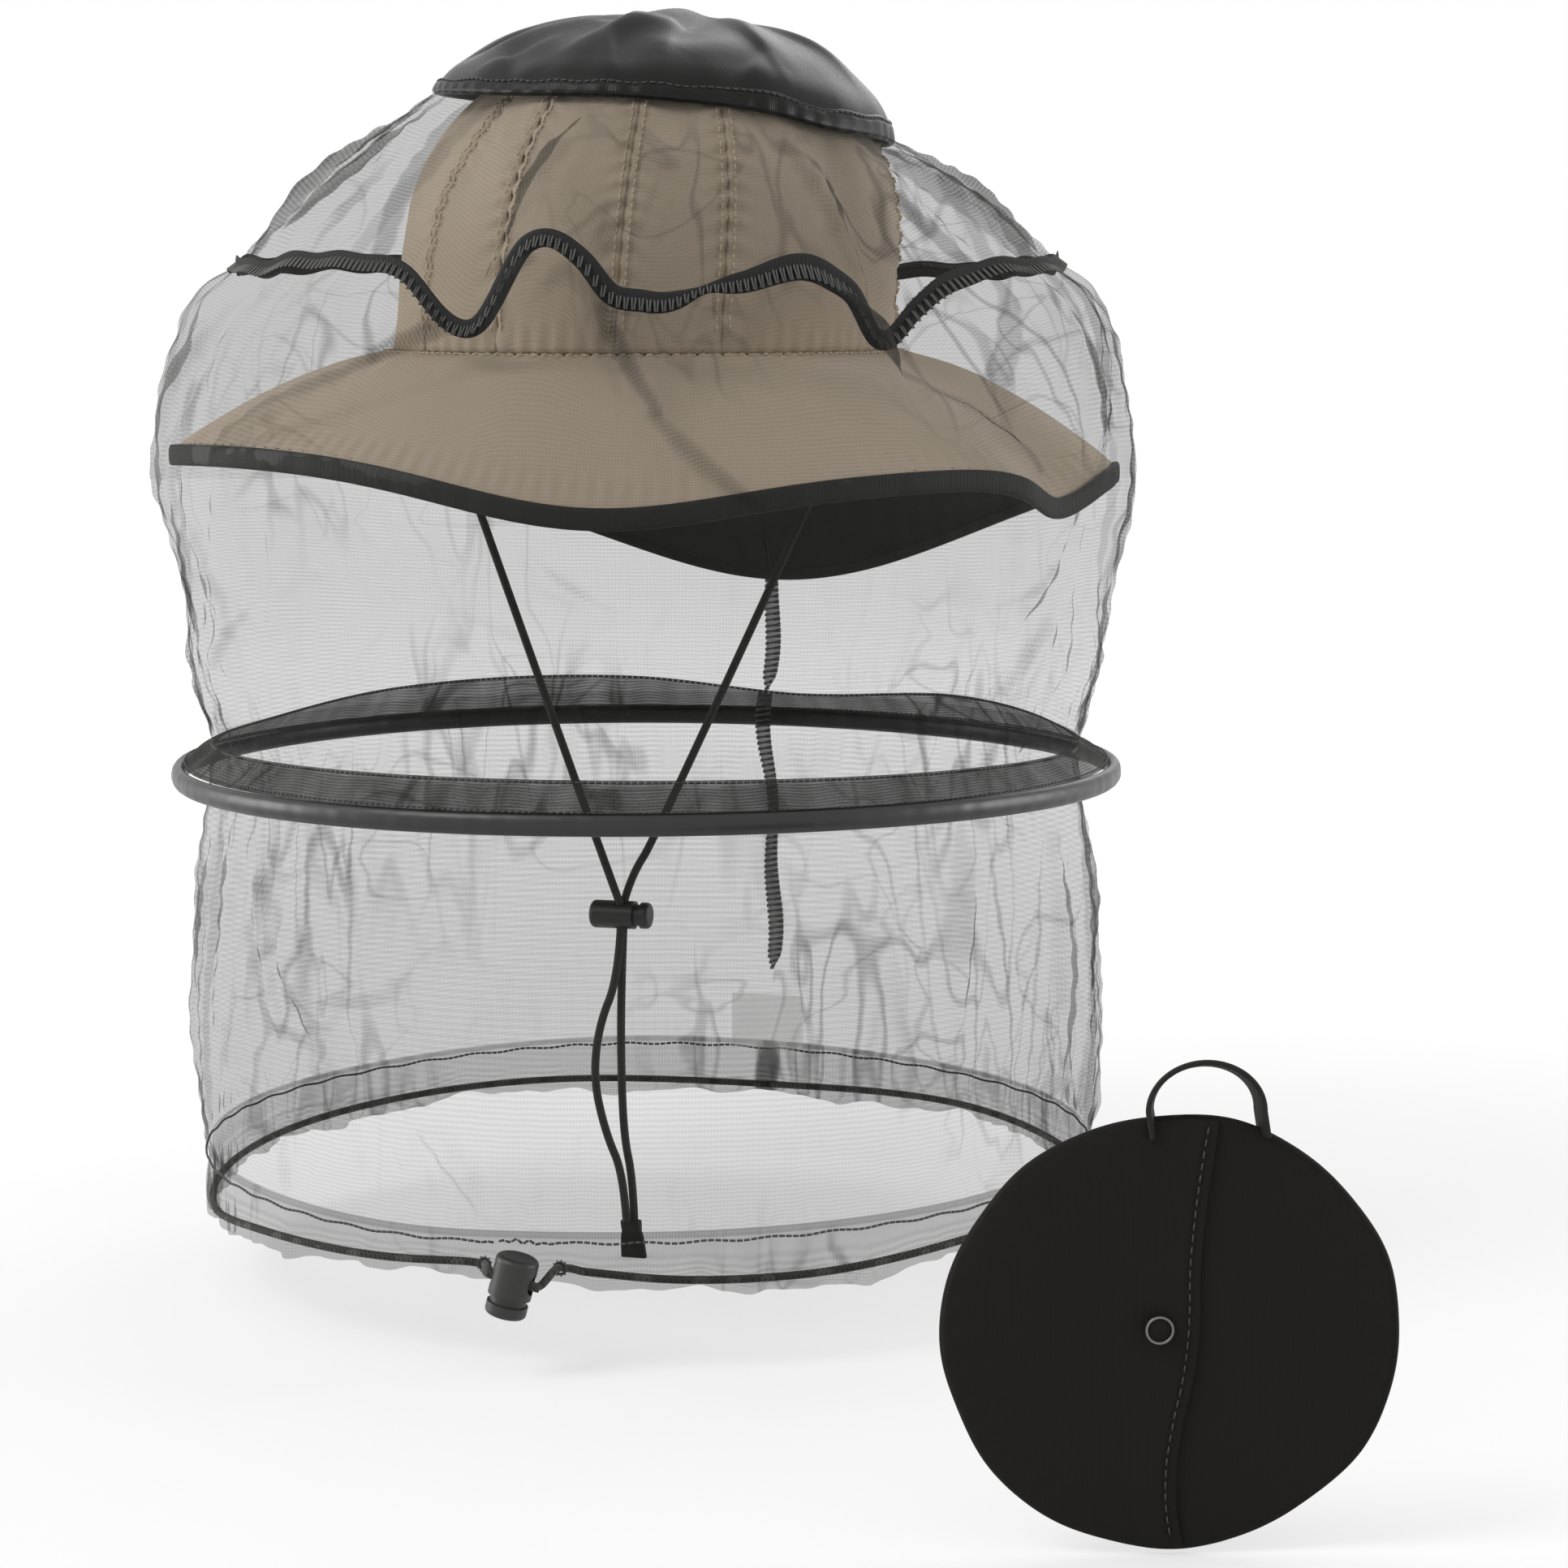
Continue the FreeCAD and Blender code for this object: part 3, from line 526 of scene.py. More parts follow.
# ---------------------------------------------------------------- finishes
class Nodes:
    """A node tree, built with short calls."""

    def __init__(self, tree, ending):
        self.tree = tree
        self.shader = next(n for n in tree.nodes if n.type == ending)

    def node(self, kind, **settings):
        made = self.tree.nodes.new(kind)
        for key, value in settings.items():
            setattr(made, key, value)
        return made

    def link(self, output, target):
        self.tree.links.new(output, target)

    def math(self, operation, first, second=None):
        made = self.node("ShaderNodeMath", operation=operation)
        for socket, value in zip(made.inputs, (first, second)):
            if isinstance(value, (int, float)):
                socket.default_value = value
            elif value is not None:
                self.link(value, socket)
        return made.outputs[0]

    def coords(self, source, scale=(1, 1, 1), turn=0.0):
        made = self.node("ShaderNodeMapping")
        made.inputs["Scale"].default_value = scale
        made.inputs["Rotation"].default_value = (0, 0, turn)
        self.link(self.node("ShaderNodeTexCoord").outputs[source], made.inputs["Vector"])
        return made.outputs[0]

    def noise(self, where, scale, detail=3.0, distortion=0.0):
        made = self.node("ShaderNodeTexNoise")
        made.inputs["Scale"].default_value = scale
        made.inputs["Detail"].default_value = detail
        made.inputs["Distortion"].default_value = distortion
        self.link(where, made.inputs["Vector"])
        return made.outputs["Fac"]

    def ribs(self, where, pitch, direction):
        made = self.node("ShaderNodeTexWave", bands_direction=direction)
        made.inputs["Scale"].default_value = math.pi / (10 * pitch)
        made.inputs["Detail"].default_value = 0.0
        self.link(where, made.inputs["Vector"])
        return made.outputs["Fac"]

    def spread(self, factor, low, high):
        made = self.node("ShaderNodeMapRange")
        made.inputs["To Min"].default_value = low
        made.inputs["To Max"].default_value = high
        self.link(factor, made.inputs["Value"])
        return made.outputs["Result"]

    def clamped(self, factor, low, high, first, last):
        made = self.node("ShaderNodeMapRange", interpolation_type="SMOOTHSTEP")
        for socket, value in (("From Min", low), ("From Max", high), ("To Min", first), ("To Max", last)):
            made.inputs[socket].default_value = value
        self.link(factor, made.inputs["Value"])
        return made.outputs["Result"]

    def clean_rays(self):
        """1 for the rays that see the backdrop plain: from the camera, through a piece or off a gloss."""
        rays = self.node("ShaderNodeLightPath").outputs
        seen = self.math("MAXIMUM", rays["Is Camera Ray"], rays["Is Transmission Ray"])
        return self.math("MAXIMUM", seen, rays["Is Glossy Ray"])


class Finish(Nodes):
    """A node material."""

    def __init__(self, name, roughness, **values):
        self.material = bpy.data.materials.new(name)
        self.material.use_nodes = True
        super().__init__(self.material.node_tree, "BSDF_PRINCIPLED")
        self.shader.inputs["Roughness"].default_value = roughness
        for key, value in values.items():
            self.shader.inputs[key.replace("_", " ")].default_value = value

    def colour(self, factor, low, high):
        ramp = self.node("ShaderNodeValToRGB")
        ramp.color_ramp.elements[0].color = (*low, 1)
        ramp.color_ramp.elements[1].color = (*high, 1)
        self.link(factor, ramp.inputs["Fac"])
        self.link(ramp.outputs["Color"], self.shader.inputs["Base Color"])

    def bump(self, height, distance, strength):
        made = self.node("ShaderNodeBump")
        made.inputs["Distance"].default_value = distance
        made.inputs["Strength"].default_value = strength
        self.link(height, made.inputs["Height"])
        self.link(made.outputs["Normal"], self.shader.inputs["Normal"])


def tones(colour, low, high):
    return [c * low for c in colour], [c * high for c in colour]


def woven_finish(name, colour, roughness, pitch, relief, spread=(0.9, 1.08), source="UV", sheen=0.0,
                 specular=0.3):
    """Plain-woven cloth: two sets of threads and a slow change of tone."""
    made = Finish(name, roughness, Specular_IOR_Level=specular, Sheen_Weight=sheen)
    where = made.coords(source)
    warp, weft = made.ribs(where, pitch, "X"), made.ribs(where, pitch * 0.8, "Y")
    weave = made.math("MULTIPLY", warp, weft)
    slow = made.noise(made.coords("Object"), 28.0, 4.0)
    tone = made.math("ADD", made.math("MULTIPLY", weave, 0.35), made.math("MULTIPLY", slow, 0.65))
    made.colour(tone, *tones(colour, *spread))
    made.bump(weave, relief, 0.7)
    return made.material


def net_finish(name, settings, cover, pitch, contrast):
    """Knitted net: see-through between its threads, denser where its plies lie on each other."""
    made = Finish(name, 0.75, Specular_IOR_Level=0.15)
    where = made.coords("UV")
    course = made.ribs(where, pitch, "Y")
    wale = made.ribs(where, pitch * 0.62, "X")
    knit = made.math("ADD", made.math("MULTIPLY", course, 0.65), made.math("MULTIPLY", wale, 0.35))
    slow = made.noise(made.coords("Object"), 14.0, 3.0)
    made.colour(slow, *tones(settings.colour, 0.8, 1.25))
    open_share = made.spread(made.math("ADD", made.math("MULTIPLY", knit, 0.8),
                                       made.math("MULTIPLY", slow, 0.2)),
                             1 - cover * (1 - contrast), 1 - cover * (1 + contrast))
    plies = made.node("ShaderNodeAttribute", attribute_name="plies").outputs["Fac"]
    # Fine creases: thin curved lines, thickest where the cloth is slack
    slack = made.clamped(made.noise(made.coords("Object"), 9.0, 1.0), 0.44, 0.66, 0.0, 1.0)
    for scale, turn, width, depth in (((22, 7, 1), 0.14, 0.022, 1.5), ((36, 11, 1), -0.4, 0.028, 1.1),
                                      ((14, 24, 1), 0.5, 0.018, 0.8)):
        field = made.noise(made.coords("UV", scale, turn), 1.0, 1.5, 0.5)
        away = made.math("ABSOLUTE", made.math("SUBTRACT", field, 0.5))
        line = made.clamped(away, 0.0, width, depth, 0.0)
        plies = made.math("ADD", plies, made.math("MULTIPLY", line, slack))
    made.link(made.math("SUBTRACT", 1.0, made.math("POWER", open_share, plies)), made.shader.inputs["Alpha"])
    return made.material


def satin_finish(name, colour, roughness, shine, relief):
    """Smooth satin with slow dents that break up its gloss."""
    made = Finish(name, roughness, Specular_IOR_Level=shine)
    weave = made.ribs(made.coords("UV"), 0.0008, "X")
    slow = made.noise(made.coords("Object"), 45.0, 2.0, 0.8)
    made.colour(slow, *tones(colour, 0.6, 1.4))
    made.link(made.spread(slow, roughness - 0.08, roughness + 0.12), made.shader.inputs["Roughness"])
    made.bump(made.math("ADD", made.math("MULTIPLY", weave, 0.15), slow), relief, 0.4)
    return made.material


def cord_finish(name, colour):
    """Braided cord: two sets of strands wound against each other."""
    made = Finish(name, 0.7, Specular_IOR_Level=0.3, Sheen_Weight=0.2)
    plait = made.ribs(made.coords("UV", (1, 1, 1), 0.6), 0.0016, "X")
    back = made.ribs(made.coords("UV", (1, 1, 1), -0.6), 0.0016, "X")
    braid = made.math("MAXIMUM", plait, back)
    made.colour(braid, *tones(colour, 0.6, 1.3))
    made.bump(braid, 0.0004, 0.8)
    return made.material


def moulded_finish(name, colour, roughness, metallic=0.0):
    made = Finish(name, roughness, Metallic=metallic, Specular_IOR_Level=0.5)
    where = made.coords("Object")
    fine, slow = made.noise(where, 900.0, 2.0), made.noise(where, 60.0, 3.0)
    made.colour(slow, *tones(colour, 0.8, 1.3))
    made.link(made.spread(slow, roughness - 0.06, roughness + 0.1), made.shader.inputs["Roughness"])
    made.bump(fine, 0.0001, 0.4)
    return made.material


FINISHES = {}


def make_finishes():
    scene = bpy.context.scene
    net, hat, cord, pouch = scene.veil_net, scene.veil_hat, scene.veil_cord, scene.veil_pouch
    FINISHES.update(
        hat_cloth=woven_finish("Hat cloth", hat.cloth, 0.8, 0.0011, 0.00012, (0.93, 1.05), sheen=0.1),
        hat_thread=moulded_finish("Hat topstitch thread", [min(c * 1.3, 0.75) for c in hat.cloth], 0.7),
        lining=woven_finish("Brim lining", hat.lining, 0.7, 0.0009, 0.0001),
        binding=woven_finish("Brim binding", [c * 1.05 for c in hat.lining], 0.62, 0.0008, 0.00015,
                             source="Object"),
        sweatband=woven_finish("Sweatband tape", (0.02, 0.02, 0.019), 0.8, 0.001, 0.0001),
        stiffener=moulded_finish("Brim stiffener", (0.05, 0.05, 0.05), 0.6),
        net=net_finish("Veil net", net, net.cover, net.course, 0.28),
        flange=net_finish("Dense net", net, 0.62, 0.0013, 0.22),
        satin=satin_finish("Crown patch satin", net.satin, 0.27, 0.18, 0.0008),
        casing=satin_finish("Ring casing satin", [c * 0.7 for c in net.satin], 0.36, 0.55, 0.0001),
        overlock=woven_finish("Overlock band", [c * 0.6 for c in net.thread], 0.8, 0.0012, 0.0002,
                              source="Object"),
        loops=moulded_finish("Overlock loops", [c * 3.0 for c in net.thread], 0.6),
        seam=woven_finish("Back seam net", net.colour, 0.8, 0.0012, 0.0002, source="Object"),
        thread=moulded_finish("Black thread", [c * 1.6 for c in net.thread], 0.6),
        cord=cord_finish("Braided cord", cord.colour),
        webbing=woven_finish("Webbing", (0.014, 0.0135, 0.0125), 0.75, 0.0013, 0.0003, source="Object"),
        plastic=moulded_finish("Cord lock plastic", cord.plastic, 0.42),
        steel=moulded_finish("Spring steel", (0.55, 0.55, 0.56), 0.3, 1.0),
        label=woven_finish("Care label cloth", (0.85, 0.85, 0.83), 0.55, 0.0005, 0.00005),
        pouch=woven_finish("Pouch cloth", pouch.cloth, 0.78, 0.0008, 0.0001, (0.7, 1.0), source="Object",
                           specular=0.2),
        pouch_thread=moulded_finish("Pouch thread", (0.055, 0.053, 0.047), 0.6),
        snap=moulded_finish("Black snap metal", (0.16, 0.16, 0.155), 0.32, 0.9),
    )
    for sheer, cover in (("label", 0.4), ("seam", 0.55)):
        tree = FINISHES[sheer].node_tree
        next(n for n in tree.nodes if n.type == "BSDF_PRINCIPLED").inputs["Alpha"].default_value = cover
    carried = {
        "stiffener": ["hat_brim_stiffener"],
        "webbing": ["chin_cord_anchor_left", "chin_cord_anchor_right"],
        "steel": ["spring_ring", "ring_joint_sleeve", "hem_lock_spring", "chin_lock_spring"],
        "plastic": ["hem_lock_body", "hem_lock_plunger", "chin_lock_body", "chin_lock_plunger"],
        "snap": ["pouch_snap_socket"],
    }
    for finish, nodes in carried.items():
        for node in nodes:
            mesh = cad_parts[node].data
            mesh.materials.clear()
            mesh.materials.append(FINISHES[finish])


# ---------------------------------------------------------------- stage
class VEIL_OT_stage(bpy.types.Operator):
    """Camera, floor, lamps and world"""

    bl_idname = "veil.stage"
    bl_label = "Stage"

    def execute(self, context):
        scene, s = context.scene, context.scene.veil_stage
        scene.view_settings.view_transform = "Standard"
        scene.cycles.transparent_max_bounces = 40
        turn = s.camera_turn
        data = bpy.data.cameras.new("Camera")
        data.lens, data.sensor_width = s.lens, 36.0
        data.clip_start, data.clip_end = 0.05, 30
        camera = bpy.data.objects.new("Camera", data)
        scene.collection.objects.link(camera)
        camera.location = (math.sin(turn) * s.camera_distance, -math.cos(turn) * s.camera_distance,
                           s.camera_height)
        camera.rotation_euler = (math.pi / 2 - s.camera_pitch, 0, turn - s.camera_yaw)
        scene.camera = camera

        # Rays that pass the net see the backdrop as the camera does
        world = bpy.data.worlds.new("World")
        scene.world = world
        world.use_nodes = True
        sky = Nodes(world.node_tree, "BACKGROUND")
        sky.link(sky.spread(sky.clean_rays(), BACKDROP_LIGHT, 1.0), sky.shader.inputs["Strength"])
        sky.shader.inputs["Color"].default_value = (1, 1, 1, 1)

        bm = bmesh.new()
        bmesh.ops.create_circle(bm, cap_ends=True, segments=96, radius=6.0)
        bmesh.ops.translate(bm, verts=bm.verts, vec=(0, 0, s.floor_height))
        pale = Finish("Pale floor", 0.9, Specular_IOR_Level=0.1)
        pale.colour(pale.noise(pale.coords("Object"), 3.0), (0.50, 0.50, 0.50), (0.53, 0.53, 0.53))
        # Far from the lamps the floor glows a little more, so that it meets the backdrop with no edge
        far = pale.node("ShaderNodeVectorMath", operation="LENGTH")
        pale.link(pale.coords("Object"), far.inputs[0])
        glow = pale.clamped(far.outputs["Value"], 0.5, 2.4, 0.49, 0.78)
        pale.link(pale.math("MULTIPLY", pale.clean_rays(), glow), pale.shader.inputs["Emission Strength"])
        pale.shader.inputs["Emission Color"].default_value = (1, 1, 1, 1)
        linked("Floor", ended(bm, "Floor"), pale.material)

        for name, place, size, power in LAMPS:
            light = bpy.data.lights.new(name, "AREA")
            light.shape, light.size, light.energy = "DISK", size, power
            lamp = bpy.data.objects.new(name, light)
            scene.collection.objects.link(lamp)
            lamp.location = place
            lamp.rotation_euler = (Vector((0, 0, -0.1)) - Vector(place)).to_track_quat("-Z", "Y").to_euler()
        return {"FINISHED"}


# ---------------------------------------------------------------- cords
def cord_tube(name, points, radius, finish):
    """A tube round the smooth line of a route, and the points of that line."""
    curve = bpy.data.curves.new(name + "_line", "CURVE")
    curve.dimensions = "3D"
    curve.resolution_u = 24
    spline = curve.splines.new("NURBS")
    spline.points.add(len(points) - 1)
    for point, place in zip(spline.points, points):
        point.co = (*[c * MM for c in place], 1.0)
    spline.order_u = 3
    spline.use_endpoint_u = True
    holder = bpy.data.objects.new(name + "_line", curve)
    bpy.context.scene.collection.objects.link(holder)
    line = bpy.data.meshes.new_from_object(holder)
    path = [tuple(v.co) for v in line.vertices]
    bpy.data.meshes.remove(line)
    curve.bevel_depth = radius
    curve.bevel_resolution = 4
    curve.use_fill_caps = True
    bpy.context.view_layer.update()
    mesh = bpy.data.meshes.new_from_object(holder.evaluated_get(bpy.context.evaluated_depsgraph_get()))
    mesh.name = name
    bpy.data.objects.remove(holder)
    bpy.data.curves.remove(curve)
    mesh.materials.clear()
    return linked(name, mesh, finish), path


class VEIL_OT_chin_cord(bpy.types.Operator):
    """Chin cord: two legs from the hat to the lock, two tails and the end tab"""

    bl_idname = "veil.chin_cord"
    bl_label = "Chin cord"

    def execute(self, context):
        width = context.scene.veil_cord.diameter
        bm = started()
        bmesh.ops.create_cube(bm, size=1.0, calc_uvs=True)
        bmesh.ops.scale(bm, verts=bm.verts, vec=(0.0084, 0.0036, 0.014))
        upright = [e for e in bm.edges if abs(e.verts[0].co.z - e.verts[1].co.z) > 0.01]
        bmesh.ops.subdivide_edges(bm, edges=upright, cuts=6)
        for vert in bm.verts:
            down = 0.5 - vert.co.z / 0.014
            vert.co.x *= 0.86 + 0.28 * down - 0.12 * math.exp(-((down - 0.28) / 0.12) ** 2)
            vert.co.y *= 1.1 - 0.45 * down
            vert.co.x += 0.0012 * down
        bmesh.ops.bevel(bm, geom=bm.edges, offset=0.0005, affect="EDGES", segments=2, profile=0.5,
                        material=-1)
        bmesh.ops.translate(bm, verts=bm.verts, vec=(-0.0064, -0.0025, -0.3255))
        tab = owned(linked("end_tab", ended(bm, "end_tab"), FINISHES["webbing"]), "hat", "webbing",
                    "chin_cord_end_tab")
        for name, route in CORDS.items():
            piece, path = cord_tube(name.replace("chin_cord_", "cord_"), route, width / 2, FINISHES["cord"])
            leg = name.endswith("leg")
            if leg:
                bending(piece, "hat", "chin_lock", -0.009, -0.2015, "cord", name)
            else:
                bending(piece, "chin_lock", "hat", -0.2085, -0.319, "cord", name)
        return {"FINISHED"}


# ---------------------------------------------------------------- sun hat
def leaned(points, context):
    """The soft crown and all above it leans to the right."""
    turn = context.scene.veil_stage.camera_turn
    lean = context.scene.veil_hat.lean / MM * smooth(-20, 125, points[..., 2])
    return points + lean[..., None] * np.array([math.cos(turn), math.sin(turn), 0])


def crown_creases():
    rng = np.random.default_rng(RNG_SEED)
    made = []
    for _ in range(46):
        s, t = rng.uniform(-300, 300), rng.uniform(8, 105)
        length, tilt = rng.uniform(18, 55), rng.uniform(-1.2, 1.2)
        ds, dt = math.sin(tilt) * length / 2, math.cos(tilt) * length / 2
        made.append((s - ds, t - dt, s + ds, t + dt, rng.uniform(-1.6, 1.3), rng.uniform(1.6, 4.0),
                     rng.uniform(-0.3, 0.3)))
    # Long soft folds down the front
    made += [(-70, 100, -42, 40, -1.5, 5.0, 0.2), (-20, 104, -34, 62, 1.6, 4.0, -0.2),
             (34, 92, 62, 40, -1.6, 5.0, 0.15),
             (70, 96, 96, 55, 2.2, 4.0, -0.2), (-105, 90, -88, 30, 2.0, 4.5, 0.1),
             (12, 70, 44, 60, -1.5, 2.6, 0.3)]
    return made


def crown_xyz(context, degrees, share):
    """The crown's outer face: seams drawn in, puckers beside them, and soft creases."""
    profile = along(CROWN_PROFILE, share)
    scale, height = profile[..., 0], profile[..., 1]
    angle = np.radians(degrees)
    s, t = angle * CROWN_ROUND, share * CROWN_LONG
    wide = CROWN_ROUND * np.maximum(scale, 0.02)
    near = np.full(np.shape(degrees), 1e3)
    side = np.zeros(np.shape(degrees))
    for start, _ in CROWN_PANELS.values():
        off = np.radians(gap(degrees, start)) * wide
        side = np.where(np.abs(off) < near, np.sign(off), side)
        near = np.minimum(near, np.abs(off))
    fade = smooth(0, 0.12, scale)
    out = folds(s, t, CROWN_FOLDS, math.radians(360) * CROWN_ROUND)
    out = out + 0.7 * np.sin(s / 17 + 1.3) * np.sin(t / 13 + 0.4)
    out = out - 0.5 * np.exp(-((near / 1.0) ** 2)) + 0.55 * np.exp(-(((near - 2.2) / 1.1) ** 2)) * (side > 0)
    out = out - 0.3 * np.exp(-(((near - 3.4) / 0.6) ** 2))
    pucker = 0.85 * np.sin(t * 2 * math.pi / 6.3 + 1.7 * np.sin(s / 30) + near * 0.35)
    out = out + pucker * np.exp(-((near / 7.5) ** 2))
    foot = smooth(15, 0, height)
    out = out * (1 - 0.75 * foot) + foot * 0.4 * np.sin(s * 2 * math.pi / 7.0)
    radial = np.stack([CROWN_HALF[0] * np.sin(angle), -CROWN_HALF[1] * np.cos(angle)], -1)
    size = np.linalg.norm(radial, axis=-1)
    flat = radial * (scale + out * fade / size)[..., None]
    up = out * fade * smooth(0.95, 0.4, scale) * 0.8
    points = np.concatenate([flat, (height + up)[..., None]], -1)
    return leaned(points, context)


CROWN_FOLDS = crown_creases()


class VEIL_OT_crown(bpy.types.Operator):
    """Crown: seven gores with topstitched seams"""

    bl_idname = "veil.crown"
    bl_label = "Hat crown"

    def execute(self, context):
        cloth = FINISHES["hat_cloth"]
        rows = 96
        for name, (start, end) in CROWN_PANELS.items():
            columns = max(18, round((end - start) * 1.35))
            mesh, u, v = new_grid(name.replace("hat_", "") + "_cloth", columns, rows)
            points = crown_xyz(context, start + (end - start) * u, v)
            put(mesh, points, ((end - start) * 1.66, CROWN_LONG))
            owned(thickened(linked(mesh.name, mesh, cloth), 0.0012), "hat", "hat_cloth", name)
        starts, ends = [], []
        for seam, _ in CROWN_PANELS.values():
            for off in (2.3, -2.3):
                share = np.linspace(0.03, 0.86, 400)
                wide = CROWN_ROUND * along(CROWN_PROFILE, share)[..., 0]
                line = crown_xyz(context, seam + np.degrees(off / wide), share)
                far = far_along(line)
                at = np.arange(1.0, far[-1] - 2, 3.1)
                out = line / np.linalg.norm(line, axis=1, keepdims=True) * 0.25 + line
                starts.append(points_at(out, far, at))
                ends.append(points_at(out, far, at + 2.2))
        owned(stitches("crown_topstitching", np.concatenate(starts), np.concatenate(ends), 0.55,
                       FINISHES["hat_thread"]), "hat", "hat_cloth")

        mesh, u, v = new_grid("sweatband_tape", 220, 10)
        degrees = 180 + 360 * u
        radial = np.stack([(CROWN_HALF[0] - 2.6) * np.sin(np.radians(degrees)),
                           -(CROWN_HALF[1] - 2.6) * np.cos(np.radians(degrees))], -1)
        ripple = 1 + 0.004 * np.sin(np.radians(degrees) * 26) * (1 - v)
        height = (-0.5 + 29 * v)[..., None]
        put(mesh, np.concatenate([radial * ripple[..., None], height], -1), (600, 29))
        owned(thickened(linked("sweatband_tape", mesh, FINISHES["sweatband"]), 0.0012), "hat",
              "sweatband_tape", "hat_sweatband")
        return {"FINISHED"}


def brim_xyz(degrees, share, drop=0.0, grow=0.0):
    """The wavy brim, from the crown at share 0 to its edge at share 1, lowered by drop."""
    angle = np.radians(degrees)
    start = np.stack([CROWN_HALF[0] * np.sin(angle), -CROWN_HALF[1] * np.cos(angle)], -1)
    droop = sum(extra * bump(degrees, centre, spread) for extra, centre, spread in BRIM_DROOPS)
    low = -BRIM_EDGE_DROP - droop
    reach = BRIM_REACH + (BRIM_BACK_REACH - BRIM_REACH) * bump(degrees, 180, 60)
    base = np.linalg.norm(start, axis=-1)
    limit = BRIM_LIMIT_RADIUS + BRIM_TUCK * np.minimum(low + BRIM_TUCK_HEIGHT, 0)
    edge = np.minimum(base + np.sqrt(reach**2 - low**2), limit)
    radius = base + (edge - base) * share
    sag = low * (0.35 * share + 0.65 * share**2)
    flat = start * ((radius + grow) / base)[..., None]
    return np.concatenate([flat, (sag - drop)[..., None]], -1)


def brim_face(degrees, share, drop):
    """One face of the brim, with small puckers at its edge and at the crown seam."""
    s = np.radians(degrees) * BRIM_ROUND
    out = 0.45 * np.sin(s * 2 * math.pi / 6.5 + 1.5 * np.sin(s / 31)) * smooth(0.78, 0.97, share)
    out = out + 0.5 * np.sin(s * 2 * math.pi / 7.5) * smooth(0.12, 0.0, share)
    out = out + folds(s, share * 60.0, BRIM_FOLDS, math.radians(360) * BRIM_ROUND)
    points = brim_xyz(degrees, share, drop)
    points[..., 2] += out * smooth(1.02, 0.9, share)
    return points


def brim_creases():
    rng = np.random.default_rng(RNG_SEED + 1)
    return [(s - 12, t - 8, s + 12, t + 8, rng.uniform(-0.7, 0.7), rng.uniform(2.5, 6.0),
             rng.uniform(-0.3, 0.3))
            for s, t in zip(rng.uniform(-470, 470, 30), rng.uniform(8, 50, 30))]


BRIM_FOLDS = brim_creases()


class VEIL_OT_brim(bpy.types.Operator):
    """Brim: cloth top, dark underside and a bound edge"""

    bl_idname = "veil.brim"
    bl_label = "Hat brim"

    def execute(self, context):
        for name, drop, finish, slot, node in (
            ("brim_top_cloth", 0.0, "hat_cloth", "hat_cloth", "hat_brim_top"),
            ("brim_underside", BRIM_STACK - 0.8, "lining", "brim_lining", "hat_brim_lining"),
        ):
            mesh, u, v = new_grid(name, 720, 44)
            put(mesh, brim_face(180 + 360 * u, 1 - v, drop), (900, 60))
            owned(thickened(linked(name, mesh, FINISHES[finish]), 0.0008), "hat", slot, node)
        height = context.scene.veil_hat.binding_width / MM
        degrees = np.linspace(0, 360, 721)
        path = brim_xyz(degrees, np.ones(721), BRIM_STACK / 2 + 0.4, 0.2)
        out = ring_xyz(degrees, 1.0, 0.0)
        section = pad_section(2.9, height, 18, 0.62)
        wave = 1 + 0.05 * np.sin(np.radians(degrees) * 41) + 0.04 * np.sin(np.radians(degrees) * 67 + 1)
        sections = section[:, None, :] * np.stack([wave, 1 + 0 * wave], 1)[None]
        owned(sweep("brim_binding_tape", path, sections, FINISHES["binding"], out, closed=True), "hat",
              "brim_binding", "hat_brim_binding")
        line = brim_xyz(degrees, np.ones(721) * 0.985, -0.2, -1.4)
        owned(running_stitch("brim_binding_stitching", line, np.array([[0, 0, 1.0]]), 3.2, 0.6, 0.45,
                             FINISHES["thread"], 0.6), "hat", "brim_binding")
        foot = brim_xyz(degrees, np.ones(721) * 0.045)
        owned(running_stitch("brim_seam_stitching", foot, np.array([[0, 0, 1.0]]), 3.0, 0.62, 0.5,
                             FINISHES["hat_thread"], 0.5), "hat", "hat_cloth")
        return {"FINISHED"}


# ---------------------------------------------------------------- satin patch and dome net
def patch_rim(degrees):
    line = around(PATCH_RIM, degrees)
    return ring_xyz(degrees, line[..., 0], line[..., 1])


PATCH_FOLDS = [
    (-18, -70, 22, 6, 3.6, 3.2, 0.25), (24, -66, 20, 4, -3.0, 3.0, -0.2), (-60, -48, 4, -22, 3.0, 3.0, 0.3),
    (64, -50, 22, -4, 3.4, 3.4, -0.25), (-74, -16, -8, -10, 2.6, 3.0, 0.3), (76, -8, 30, 0, 3.0, 3.0, 0.2),
    (-30, -76, -44, -46, -2.6, 3.0, 0.2), (44, -70, 50, -40, 2.8, 3.2, 0.3),
    (8, -78, -2, -50, -2.2, 2.6, 0.1),
    (-52, -60, -20, -52, 2.2, 2.4, 0.5), (-70, 28, -10, 14, 2.8, 3.2, 0.3), (60, 44, 18, 14, 3.0, 3.2, 0.2),
    (0, 74, 12, 20, 2.8, 3.2, 0.2), (-46, 60, -8, 26, -2.8, 3.0, 0.2), (30, 72, 26, 30, -2.4, 2.8, 0.1),
    (-20, -40, 30, -34, 2.0, 2.6, 0.5), (58, -58, 74, -30, -2.4, 2.6, 0.3),
    (-66, -36, -40, -20, -2.0, 2.6, 0.2),
]


